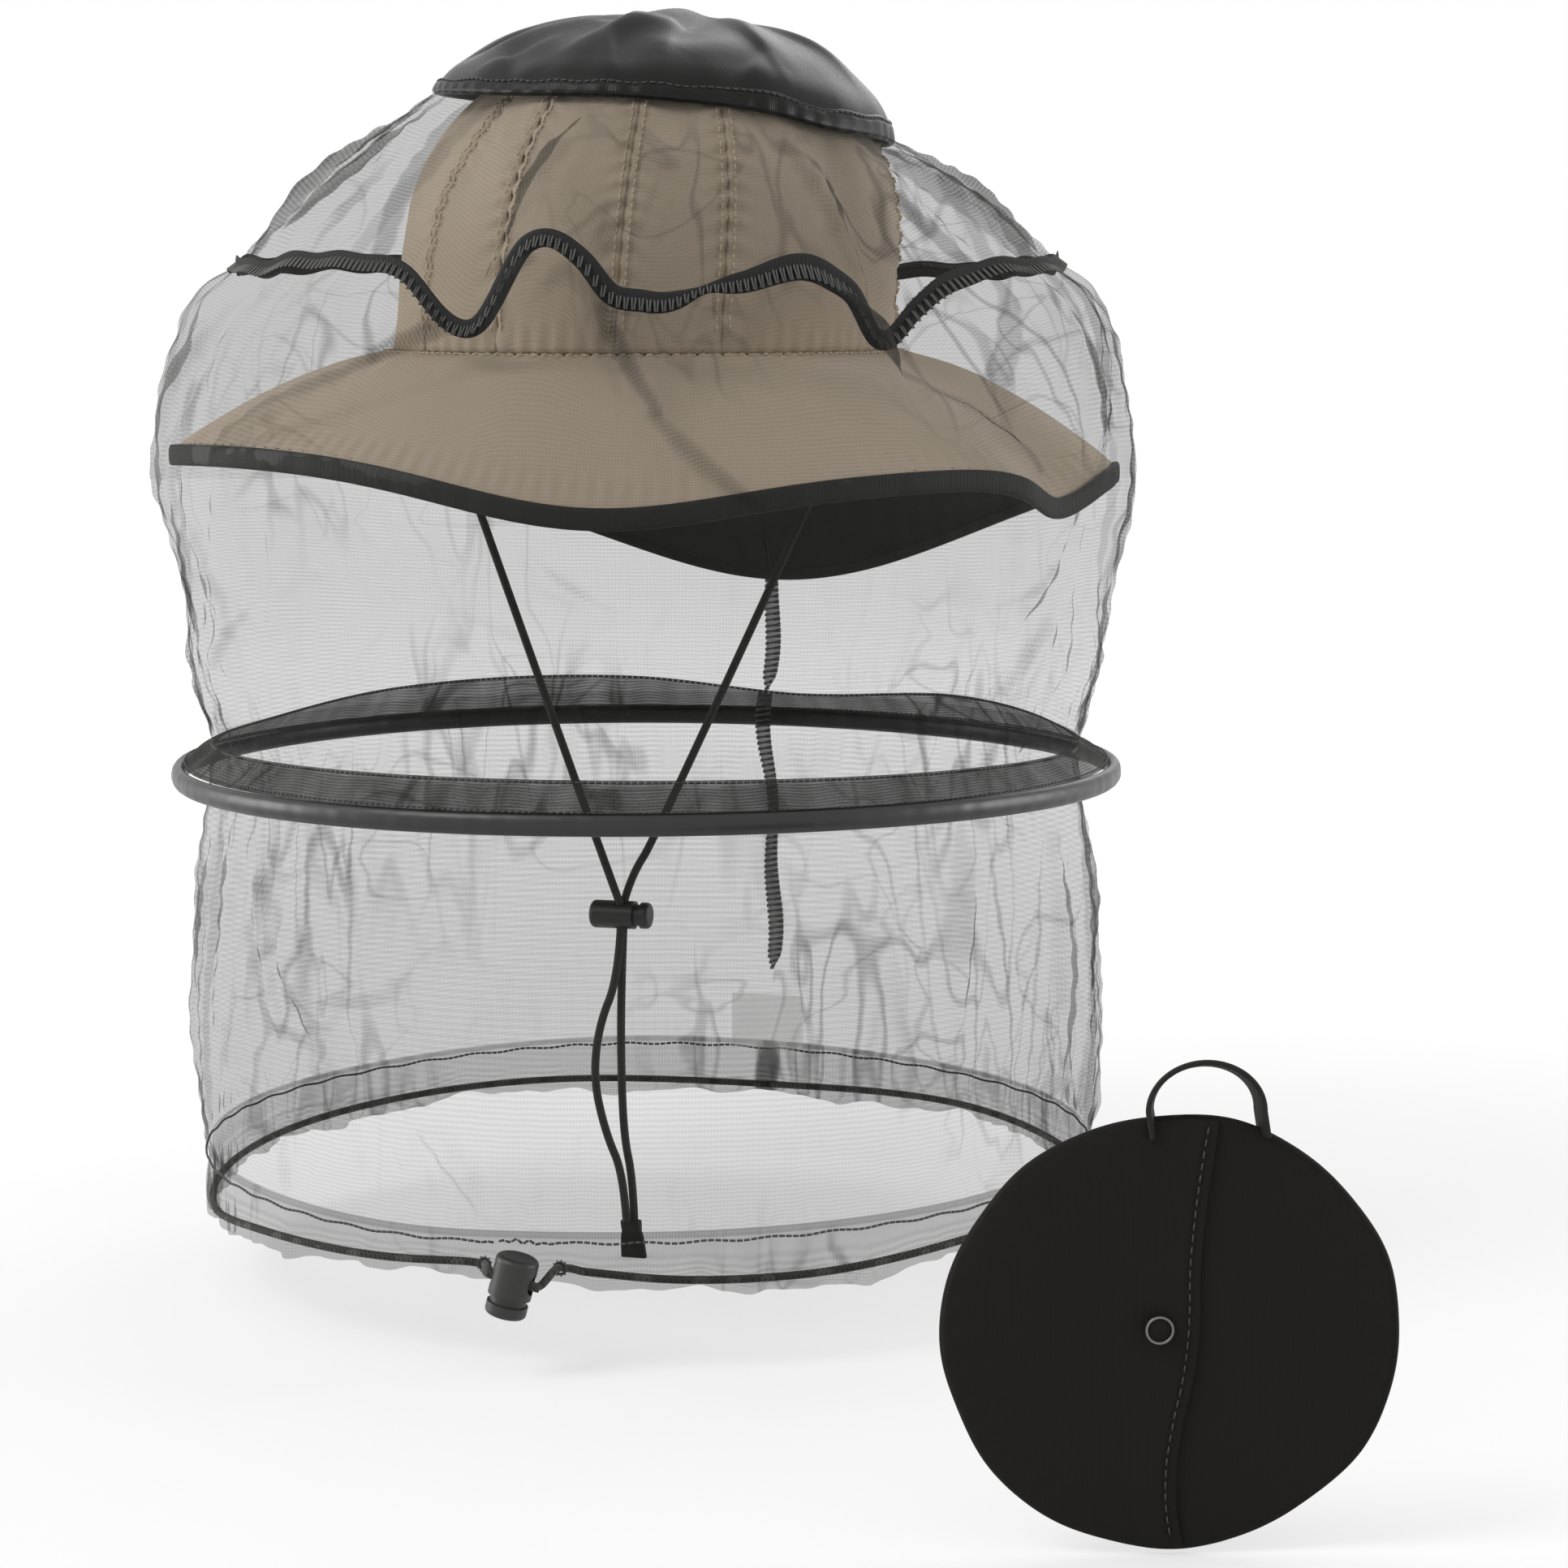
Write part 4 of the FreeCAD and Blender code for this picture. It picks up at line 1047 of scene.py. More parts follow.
def patch_xyz(context, degrees, share):
    rim = patch_rim(degrees)
    rise = along(PATCH_RISE, share)
    flat = rim[..., :2] * rise[..., :1]
    height = rim[..., 2] + (117.0 - rim[..., 2]) * rise[..., 1]
    fade = smooth(0.0, 0.1, share)
    out = folds(flat[..., 0], flat[..., 1], PATCH_FOLDS) * fade
    turn = np.radians(degrees)
    ripple = 0.7 * np.sin(turn * 23 + 2 * np.sin(turn * 3)) * smooth(0.5, 0.05, share)
    points = np.concatenate([flat * (1 + 0.004 * out[..., None] * (1 - rise[..., 1:])),
                             (height + (out + ripple * fade) * (0.4 + 0.6 * rise[..., 1]))[..., None]], -1)
    return leaned(points, context)


def shoulder_xyz(degrees):
    line = around(SHOULDER, degrees)
    s = np.radians(degrees)
    return ring_xyz(degrees, line[..., 0], line[..., 1] + 0.6 * np.sin(s * 29) + 0.5 * np.sin(s * 17 + 2))


class VEIL_OT_dome(bpy.types.Operator):
    """Satin crown patch with its hem, the dome net below it and the overlocked shoulder seam"""

    bl_idname = "veil.dome"
    bl_label = "Patch, dome net and shoulder seam"

    def execute(self, context):
        mesh, u, v = new_grid("crown_patch_satin", 300, 70)
        points = patch_xyz(context, 180 + 360 * u, v)
        points[-1] = points[-1].mean(0)
        put(mesh, points, (500, 90))
        patch = owned(thickened(linked("crown_patch_satin", mesh, FINISHES["satin"]), 0.0005), "hat",
                      "patch_satin", "veil_crown_patch")
        mesh, u, v = new_grid("crown_patch_hem", 420, 10)
        degrees = 180 + 360 * u
        low, high = patch_xyz(context, degrees, 0 * v), patch_xyz(context, degrees, 0 * v + 0.155)
        points = low + (high - low) * v[..., None]
        normal, _ = normals_of(points)
        pad = 1.1 * np.clip(1 - (2 * v - 1) ** 6, 0, 1) - 0.55 * np.exp(-(((v - 0.78) / 0.07) ** 2))
        turn = np.radians(degrees)
        pad = pad + 0.35 * np.sin(turn * 61 + np.sin(turn * 7)) * np.clip(1 - v, 0, 1)
        points = points + normal * (pad + 0.3)[..., None]
        put(mesh, points, (500, 9))
        hem = owned(thickened(linked("crown_patch_hem", mesh, FINISHES["satin"]), 0.0006), "hat",
                    "patch_satin", "veil_crown_patch_hem")
        ring = np.linspace(0, 360, 900)
        line = patch_xyz(context, ring, np.full(900, 0.155 * 0.78))
        owned(running_stitch("crown_patch_stitching", line, ring_xyz(ring, 0.7, 0.7), 2.8, 0.62, 0.5,
                             FINISHES["thread"], 1.0), "hat", "patch_satin")

        mesh, u, v = new_grid("dome_net", 560, 64)
        degrees = 180 + 360 * u
        foot, rim = shoulder_xyz(degrees), patch_xyz(context, degrees, 0 * v + 0.03)
        points = foot + (rim - foot) * v[..., None]
        normal, _ = normals_of(points)
        points = points + normal * (3.0 * np.sin(math.pi * v))[..., None]
        s, t = np.radians(degrees) * DOME_ROUND, v * 85.0
        lap = math.radians(360) * DOME_ROUND
        out = (folds(s, t, DOME_FOLDS, lap) + crumple(s, t)) * smooth(0, 0.06, v) * smooth(1, 0.95, v)
        points, plies = raised(points, out)
        plies = plies + strips(s, t, DOME_STRIPS, lap)
        put(mesh, points, (math.radians(360) * 125, 88), plies)
        dome = owned(linked("dome_net", mesh, FINISHES["net"]), "hat", "net", "veil_dome_net")

        ring = np.linspace(0, 360, 1201)
        path = shoulder_xyz(ring)
        face = upper_xyz(np.tile(ring, (2, 1)), np.array([[0.955], [1.0]]) + 0 * ring)
        down = face[0] - face[1]
        down = down / np.linalg.norm(down, axis=1, keepdims=True)
        out = ring_xyz(ring, 1.0, 0.0)
        wide = (6.4 + 3.0 * bump(ring, 41, 9) + 1.4 * bump(ring, 16, 7) - 3.6 * bump(ring, 26.5, 3)
                + 1.6 * bump(ring, 66, 9))
        turn = np.linspace(0, 2 * math.pi, 10, endpoint=False)
        thin = np.outer(np.cos(turn) * 0.5, np.ones_like(wide))
        flat = np.stack([thin, np.outer(np.sin(turn), wide * 0.5)], -1)
        owned(sweep("shoulder_overlock_band", path + out * 0.3, flat, FINISHES["overlock"], out, closed=True),
              "hat", "overlock_thread", "veil_shoulder_seam")
        count = 330
        at = np.linspace(0, 360, count, endpoint=False)
        mid = shoulder_xyz(at) + ring_xyz(at, 1.1, 0.0)
        half = np.interp(at, ring, wide)[:, None] * 0.5
        reach = points_at(down, ring, at) * half
        slant = np.stack([np.cos(np.radians(at)), np.sin(np.radians(at)), 0 * at], 1) * 0.7
        owned(stitches("shoulder_overlock_thread", np.concatenate([mid + reach, mid + reach - slant]),
                       np.concatenate([mid - reach + slant, mid - reach - slant * 1.2]), 0.7,
                       FINISHES["loops"]), "hat", "overlock_thread")
        return {"FINISHED"}


def dome_creases():
    rng = np.random.default_rng(RNG_SEED + 2)
    made = scattered(rng, 44, (-180, 180), (10, 75), (40, 80), (-40, 40), (0.8, 2.0), (2.4, 4.5), DOME_ROUND)
    made += scattered(rng, 30, (-180, 180), (8, 78), (20, 40), (-60, 60), (0.6, 1.4), (1.4, 2.4), DOME_ROUND)
    made += placed(DOME_ROUND, [(-8, 6, 4, 78, 4.5, 2.4, 0.1), (54, 4, 44, 76, 4.5, 2.6, -0.12),
             (13, 6, 20, 60, -3.5, 2.4, 0.1), (-60, 4, -44, 74, 4.5, 2.6, 0.1),
             (-84, 2, -52, 76, 5.0, 2.6, -0.08), (90, 2, 76, 76, 4.5, 2.8, 0.08),
             (118, 2, 96, 76, 4.5, 2.6, 0.1), (70, 4, 64, 70, 3.5, 2.2, 0.1)])
    return made


DOME_FOLDS = dome_creases()
DOME_STRIPS = placed(DOME_ROUND, [
    (-84, -2, -56, 86, 13, 1.7), (-66, 0, -46, 84, 8, 1.2),
    (-32, 0, -26, 84, 9, 0.6), (90, -2, 70, 86, 15, 1.6),
    (76, 0, 84, 60, 8, 1.0), (124, 0, 98, 84, 13, 1.6),
    (140, 0, 150, 84, 12, 1.4), (210, 0, 222, 84, 12, 1.2),
    (242, 0, 258, 84, 10, 1.2),
])


# ---------------------------------------------------------------- upper net
def upper_xyz(degrees, share):
    """The upper net before its folds: from the flange up over the brim to the shoulder seam."""
    front = 1 - smooth(32, 82, np.abs(gap(degrees, 8)))
    back = 1 - smooth(30, 85, np.abs(gap(degrees, 180)))
    side = 1 - front - back

    def wall(at):
        return (along(FRONT_NET, at) * front[..., None] + along(SIDE_NET, at) * side[..., None]
                + along(BACK_NET, at) * back[..., None])

    line, top = wall(share), wall(1.0)
    points = ring_xyz(degrees, line[..., 0], line[..., 1])
    to_seam = shoulder_xyz(degrees) - ring_xyz(degrees, top[..., 0], top[..., 1])
    points += to_seam * smooth(0.5, 1.0, share)[..., None]
    flange = around(FLANGE_TOP, degrees)
    to_flange = ring_xyz(degrees, flange[..., 0], flange[..., 1]) - ring_xyz(degrees, *FRONT_NET[0])
    points += to_flange * smooth(0.3, 0.0, share)[..., None]
    return points


def upper_creases():
    rng = np.random.default_rng(RNG_SEED + 3)
    made = []
    for count, degrees, heights in ((20, (-98, -26), (-122, -50)), (26, (62, 128), (-126, -44)),
                                    (30, (128, 262), (-122, 5)), (12, (-98, -34), (-40, 18)),
                                    (14, (64, 128), (-38, 18))):
        made += scattered(rng, count, degrees, heights, (55, 120), (-38, 42), (0.9, 2.2), (3.2, 6.0))
        made += scattered(rng, count, degrees, heights, (30, 65), (-60, 50), (0.5, 1.2), (2.4, 3.6))
    made += scattered(rng, 26, (-98, -60), (-128, -90), (18, 40), (-30, 50), (0.6, 1.4), (2.2, 3.0))
    made += scattered(rng, 30, (74, 126), (-128, -86), (18, 40), (-50, 30), (0.6, 1.4), (2.2, 3.0))
    made += placed(NET_ROUND, [(4, 30, -24, -6, 6.0, 2.6, 0.10), (-22, -4, -44, -34, 4.5, 2.4, -0.2),
             (11, 24, 19, -18, -5.5, 2.4, 0.15), (17, -14, 30, -50, -4.0, 2.6, 0.25),
             (47, 24, 55, -8, 6.0, 2.4, 0.12), (54, -4, 68, -40, 5.0, 2.6, 0.2),
             (-52, 22, -60, -30, 5.0, 2.8, 0.15), (-66, 20, -58, -18, -4.0, 2.6, 0.1),
             (80, 20, 84, -35, 5.0, 2.6, 0.1), (95, 20, 90, -35, -4.0, 2.6, 0.1),
             (4, -60, 16, -84, 3.2, 1.8, 0.2), (60, -86, 76, -62, 3.4, 1.8, 0.2),
             (-30, -76, -50, -116, 3.6, 2.0, 0.1), (-52, -50, -34, -96, 4.0, 2.2, 0.15),
             (62, -122, 74, -80, 4.0, 2.2, 0.1)])
    return made


UPPER_FOLDS = upper_creases()
UPPER_STRIPS = placed(NET_ROUND, [
    (3, 32, -20, -2, 6, 1.2), (-18, 0, -42, -33, 4, 1.1),
    (10, 26, 20, -20, 4, 1.3), (18, -16, 31, -50, 4, 0.9),
    (46, 28, 54, -6, 7, 1.3), (53, -2, 68, -40, 5, 1.1),
    (118, 28, 112, -30, 14, 1.2), (-72, 28, -66, -10, 10, 0.9),
    (96, 28, 104, -24, 9, 1.0), (136, 28, 146, -26, 12, 1.0),
    (86, -20, 92, -112, 8, 0.7), (-84, -10, -76, -104, 9, 0.7),
])


class VEIL_OT_upper_net(bpy.types.Operator):
    """Upper net and its back seam"""

    bl_idname = "veil.upper_net"
    bl_label = "Upper net"

    def execute(self, context):
        mesh, u, v = new_grid("upper_net", 680, 140)
        degrees = 180 + 360 * u
        points = upper_xyz(degrees, v)
        s, t = np.radians(degrees) * NET_ROUND, points[..., 2]
        out = folds(s, t, UPPER_FOLDS, NET_LAP) + crumple(s, t)
        out = out + 1.3 * np.sin(np.radians(degrees) * 9 + t / 40) * np.sin(math.pi * v)
        turn = np.radians(degrees)
        gather = 0.9 * np.sin(turn * 96 + 2.5 * np.sin(turn * 11)) * smooth(0.16, 0.0, v)
        out = (out + gather) * smooth(0, 0.03, v) * smooth(1, 0.96, v) * (1 - bump(degrees, 180, 3))
        points, plies = raised(points, out)
        plies = plies + strips(s, t, UPPER_STRIPS, NET_LAP)
        put(mesh, points, (NET_LAP, 205), plies)
        net = linked("upper_net", mesh, FINISHES["net"])
        bending(net, "hat", "ring", *UPPER_BEND, "net", "veil_upper_net")
        band, thread = back_seam("back_seam_upper", upper_xyz, 0.0, 0.97)
        bending(band, "hat", "ring", *UPPER_BEND, "overlock_thread", "veil_back_seam_upper")
        bending(thread, "hat", "ring", *UPPER_BEND, "overlock_thread")
        return {"FINISHED"}


def back_seam(name, surface, low, high):
    """An overlocked ladder of thread down the back, on the inside of the net."""
    share = np.linspace(low, high, 90)
    middle = surface(np.full((1, 90), 180.0), share[None])[0]
    out = np.tile([[0, -1.0, 0]], (90, 1))
    far = far_along(middle)
    sway = 1.1 * np.sin(far / 9) + 0.9 * np.sin(far / 23)
    middle = middle + out + np.array([1.0, 0, 0]) * sway[:, None]
    wide = (5.0 + 0.8 * np.sin(far / 14)) * (0.25 + 0.75 * smooth(0, 7, far))
    turn = np.linspace(0, 2 * math.pi, 8, endpoint=False)
    thin = np.outer(np.cos(turn) * 0.35, np.ones_like(wide))
    flat = np.stack([thin, np.outer(np.sin(turn), wide * 0.5)], -1)
    band = sweep(name, middle, flat, FINISHES["seam"], out)
    at = np.arange(1, far[-1] - 1, 2.3)
    mid = points_at(middle, far, at) + np.array([0, -0.4, 0])
    half = np.interp(at, far, wide)[:, None] * np.array([[0.55, 0, 0]])
    rise = np.array([0, 0, 0.9])
    thread = stitches(name + "_thread", np.concatenate([mid - half - rise, mid + half]),
                      np.concatenate([mid + half + rise, mid - half - rise * 0.2]), 0.7, FINISHES["loops"])
    return band, thread


# ---------------------------------------------------------------- spring ring
class VEIL_OT_ring(bpy.types.Operator):
    """Spring ring in its satin casing, with the dense net flange and its stitching"""

    bl_idname = "veil.ring"
    bl_label = "Spring ring"

    def execute(self, context):
        degrees = np.linspace(0, 360, 601)
        turn = np.radians(degrees)
        path = ring_xyz(degrees, RING_RADIUS + 0.5 * np.sin(turn * 3 + 1),
                        RING_Z + 0.8 * np.sin(turn * 2 + 0.5))
        section = pad_section(5.0, 7.6, 20, 0.92)
        crumple = 1 + 0.03 * np.sin(turn * 83 + 3 * np.sin(turn * 5)) + 0.02 * np.sin(turn * 131)
        sections = section[:, None, :] * np.stack([crumple, 1 + 0 * crumple], 1)[None]
        owned(sweep("ring_casing", path, sections, FINISHES["casing"], ring_xyz(degrees, 1.0, 0.0),
                    closed=True, size=(1060, 22)), "ring", "casing_tape", "ring_casing_tape")

        mesh, u, v = new_grid("ring_flange", 640, 12)
        at = 180 + 360 * u
        top = around(FLANGE_TOP, at)
        high = ring_xyz(at, top[..., 0], top[..., 1])
        low = ring_xyz(at, 166.6, -147.0)
        points = low + (high - low) * v[..., None]
        points += ring_xyz(at, 1.0, 0.6) * (0.9 * np.sin(math.pi * v) * np.sin(np.radians(at) * 37 + np.sin(
            np.radians(at) * 9)))[..., None]
        put(mesh, points, (1020, 15), 2.1 + 0.25 * np.sin(np.radians(at) * 53) * np.sin(np.radians(at) * 31))
        owned(linked("ring_flange", mesh, FINISHES["flange"]), "ring", "net", "ring_flange_net")

        ring = np.linspace(0, 360, 1500)
        top = around(FLANGE_TOP, ring)
        line = ring_xyz(ring, top[..., 0] + 0.3, top[..., 1] - 0.8)
        low = ring_xyz(ring, 165.9, -146.0)
        piece = running_stitch("ring_top_stitching", line, ring_xyz(ring, 1, 0), 2.3, 0.72, 0.9,
                               FINISHES["thread"], 0.3)
        owned(piece, "ring", "thread", "ring_stitching")
        owned(running_stitch("ring_low_stitching", low, ring_xyz(ring, 1, 0.6), 2.3, 0.62, 0.6,
                             FINISHES["thread"], 0.3), "ring", "thread")
        return {"FINISHED"}


# ---------------------------------------------------------------- lower net and hem
def lower_xyz(degrees, share):
    line = along(LOWER_NET[::-1], share)
    points = ring_xyz(degrees, line[..., 0], line[..., 1])
    stitch = around(HEM_STITCH_Z, degrees)[..., 0]
    points[..., 2] += (stitch + 288) * smooth(0.35, 0.0, share)
    return points


def lower_creases():
    rng = np.random.default_rng(RNG_SEED + 4)
    made = []
    for count, degrees, heights in ((24, (-98, -18), (-270, -170)), (24, (52, 128), (-272, -170)),
                                    (30, (128, 262), (-270, -168))):
        made += scattered(rng, count, degrees, heights, (55, 120), (-22, 26), (0.9, 2.2), (3.2, 6.0))
        made += scattered(rng, count, degrees, heights, (30, 65), (-45, 45), (0.5, 1.2), (2.4, 3.6))
    made += scattered(rng, 8, (-14, 50), (-265, -170), (40, 70), (-20, 20), (0.6, 1.2), (3.0, 5.0))
    made += scattered(rng, 44, (-180, 180), (-284, -262), (18, 38), (-30, 30), (0.8, 1.8), (2.2, 3.2))
    made += placed(NET_ROUND, [(1, -288, -12, -246, 4.6, 2.2, 0.12), (-22, -240, -34, -196, 3.6, 2.2, 0.2),
             (-40, -156, -30, -236, 4.2, 2.4, 0.1), (-50, -158, -56, -230, 4.6, 2.6, 0.1),
             (82, -156, 80, -262, 4.4, 2.4, 0.05), (62, -162, 58, -232, 3.8, 2.4, 0.1)])
    return made


LOWER_FOLDS = lower_creases()
LOWER_STRIPS = placed(NET_ROUND, [
    (93, -150, 92, -292, 13, 1.2), (-64, -150, -58, -215, 9, 0.8),
    (-78, -160, -74, -285, 10, 0.7), (110, -150, 112, -285, 10, 0.8),
])


def hem_xyz(degrees, share):
    """The doubled hem: down the inside to the wavy bottom edge, and up the outside."""
    turn = np.radians(degrees)
    stitch = around(HEM_STITCH_Z, degrees)[..., 0] + 2.2
    cord = around(DRAWCORD_Z, degrees)[..., 0]
    edge = cord - 4.4 - 1.3 * np.sin(turn * 9 + 1) - 0.9 * np.sin(turn * 23 + 2) - 0.6 * np.sin(turn * 41)
    side = 2 * share - 1
    height = stitch + (edge - stitch) * np.sqrt(np.clip(1 - side**2, 0, 1))
    puff = 1.9 * np.sign(side) * np.clip(1 - np.abs(side), 0, 1) ** 0.4 * np.abs(side) ** 0.5
    gather = 0.7 * np.sin(turn * 61 + 2 * np.sin(turn * 13)) + 0.5 * np.sin(turn * 97 + 1)
    radius = 159.2 + puff + gather * smooth(-288, -302, height) * 1.2
    return ring_xyz(degrees, radius + 0.4 * side, height)


class VEIL_OT_lower_net(bpy.types.Operator):
    """Lower net, its back seam, and the care label"""

    bl_idname = "veil.lower_net"
    bl_label = "Lower net"

    def execute(self, context):
        mesh, u, v = new_grid("lower_net", 760, 120)
        degrees = 180 + 360 * u
        points = lower_xyz(degrees, v)
        s, t = np.radians(degrees) * NET_ROUND, points[..., 2]
        turn = np.radians(degrees)
        out = crumple(s, t) + folds(s, t, LOWER_FOLDS, NET_LAP)
        out = out + 1.5 * np.sin(turn * 7 + t / 60) * np.sin(math.pi * v)
        gather = 0.8 * np.sin(turn * 90 + 2.5 * np.sin(turn * 13)) * smooth(0.14, 0.0, v)
        out = (out + gather) * smooth(0, 0.04, v) * smooth(1, 0.9, v) * (1 - bump(degrees, 180, 3))
        points, plies = raised(points, out)
        plies = plies + strips(s, t, LOWER_STRIPS, NET_LAP)
        put(mesh, points, (NET_LAP, 150), plies)
        net = linked("lower_net", mesh, FINISHES["net"])
        bending(net, "ring", "hem", *LOWER_BEND, "net", "veil_lower_net")
        band, thread = back_seam("back_seam_lower", lower_xyz, 0.26, 1.0)
        bending(band, "ring", "hem", *LOWER_BEND, "overlock_thread", "veil_back_seam_lower")
        bending(thread, "ring", "hem", *LOWER_BEND, "overlock_thread")

        mesh, u, v = new_grid("care_label_cloth", 24, 24)
        points = ring_xyz(180 + 11 * (u - 0.5), 155.6 + 0.6 * np.sin(math.pi * v) * np.sin(3 * u),
                          -283 + 22 * v)
        put(mesh, points, (30, 22), weld=False)
        label = owned(linked("care_label_cloth", mesh, FINISHES["label"]), "hem", "label_cloth", "care_label")
        return {"FINISHED"}


class VEIL_OT_hem(bpy.types.Operator):
    """Doubled hem with its drawcord and stitch line"""

    bl_idname = "veil.hem"
    bl_label = "Hem and drawcord"

    def execute(self, context):
        mesh, u, v = new_grid("hem_net", 900, 26)
        degrees = 180 + 360 * u
        points = hem_xyz(degrees, v)
        plies = np.ones_like(u) + strips(np.radians(degrees) * NET_ROUND, points[..., 2], HEM_STRIPS, NET_LAP)
        put(mesh, points, (NET_LAP, 40), plies)
        hem = owned(linked("hem_net", mesh, FINISHES["net"]), "hem", "net", "hem_casing")

        cord_round = round_section(DRAWCORD_RADIUS, 10)
        at = HEM_LOCK_TURN + np.linspace(HEM_LOCK_GAP, 360 - HEM_LOCK_GAP, 900)
        cord = ring_xyz(at, 158.9, around(DRAWCORD_Z, at)[..., 0])
        owned(sweep("hem_drawcord_loop", cord, cord_round, FINISHES["cord"], ring_xyz(at, 1, 0)), "hem",
              "cord", "hem_drawcord")
        tilt, turn = math.radians(HEM_LOCK_TILT), math.radians(HEM_LOCK_TURN)
        bore = np.array([math.cos(tilt), 0, -math.sin(tilt)])
        about = (np.array([[math.cos(turn), -math.sin(turn), 0], [math.sin(turn), math.cos(turn), 0],
                           [0, 0, 1]]))
        starts, ends = [], []
        for name, side in (("left", -1), ("right", 1)):
            round_hole = np.linspace(0, 2 * math.pi, 22, endpoint=False)
            rays = np.stack([np.cos(round_hole), 0 * round_hole, np.sin(round_hole)], 1)
            eyelet = np.array([side * EYELET[0], *EYELET[1:]])
            starts.append((eyelet + rays * 1.5) @ about.T)
            ends.append((eyelet + rays * (2.4 + 0.4 * (np.arange(22)[:, None] % 2))) @ about.T)
            first = cord[-1 if side < 0 else 0]
            middle = np.array(HEM_LOCK) + np.array([0, side * 1.4, 0])
            bends = np.array([(side * 15.0, -158.9, -297.6), (side * 12.0, -163.4, -297.0),
                              middle + bore * side * 8.8,
                              middle + bore * side * 4.5, middle - bore * side * 4.5,
                              middle - bore * side * 9.5])
            route = np.concatenate([first[None], bends @ about.T])
            path = along(route, np.linspace(0, 1, 61))
            owned(sweep(f"hem_drawcord_{name}_end", path, cord_round, FINISHES["cord"],
                        np.tile([[0, 0.2, 1.0]], (61, 1))),
                  "hem", "cord")
        owned(stitches("hem_eyelet_stitches", np.concatenate(starts), np.concatenate(ends), 0.6,
                       FINISHES["thread"]),
              "hem", "thread", "hem_eyelets")
        ring = np.linspace(0, 360, 1800)
        stitch = around(HEM_STITCH_Z, ring)[..., 0] - 1.2 + 0.35 * np.sin(np.radians(ring) * 47)
        stitch = stitch + 0.7 * np.sin(np.radians(ring) * 210) * bump(ring, HEM_LOCK_TURN, 4)
        line = ring_xyz(ring, 160.6, stitch)
        owned(running_stitch("hem_stitch_line", line, ring_xyz(ring, 1, 0), 2.4, 0.78, 0.85,
                             FINISHES["thread"], 0.3),
              "hem", "thread", "hem_stitching")
        return {"FINISHED"}


HEM_STRIPS = placed(NET_ROUND, [
    (-58, -284, -56, -306, 5, 1.0), (-40, -284, -42, -304, 3, 0.8),
    (180, -280, 181, -304, 9, 2.6), (40, -292, 43, -303, 3, 0.8),
])


# ---------------------------------------------------------------- pouch
def pouch_turned(points):
    """Points or directions of the pouch, turned the way that it faces."""
    turn = math.radians(POUCH_TURN)
    c, s = math.cos(turn), math.sin(turn)
    x, y, z = points[..., 0], points[..., 1], points[..., 2]
    return np.stack([x * c - y * s, x * s + y * c, z], -1)


def pouch_place(points):
    return pouch_turned(points) + np.array(POUCH_CENTRE)


def seam_x(height):
    line = np.array(POUCH_SEAM, float)
    return hermite(line[:, 1], line[:, :1], np.clip(height, -63, 63))[..., 0]


def pouch_outline(turn):
    """The soft pouch isn't quite round: its edge runs in short straight stretches."""
    return (1 - 0.006 * (1 + np.cos(turn * 7 + 0.6)) - 0.004 * (1 + np.sin(turn * 4 - 0.4))
            - 0.002 * (1 + np.sin(turn * 13)))


def pouch_face(context, turn, share, side, lap):
    """A domed panel: share 1 at the edge. The front's two panels meet at a curved seam."""
    full = context.scene.veil_pouch.fullness / MM
    outline = pouch_outline(turn)
    x = POUCH_HALF[0] * share * outline * np.cos(turn)
    z = POUCH_HALF[1] * share * outline * np.sin(turn)
    depth = (full * np.sqrt(np.clip(1 - share**6, 0, 1)) + 0.35 * np.sin(x / 9 + z / 17) * (1 - share)
             + 0.5 * np.sin(turn * 5) * share**3 * (1 - share))
    pucker = 0.18 * np.sin(turn * 44 + 2 * np.sin(turn * 5))
    depth = depth + pucker * smooth(0.75, 0.93, share) * smooth(1, 0.95, share)
    return np.stack([x, -side * (depth + lap), z], -1)


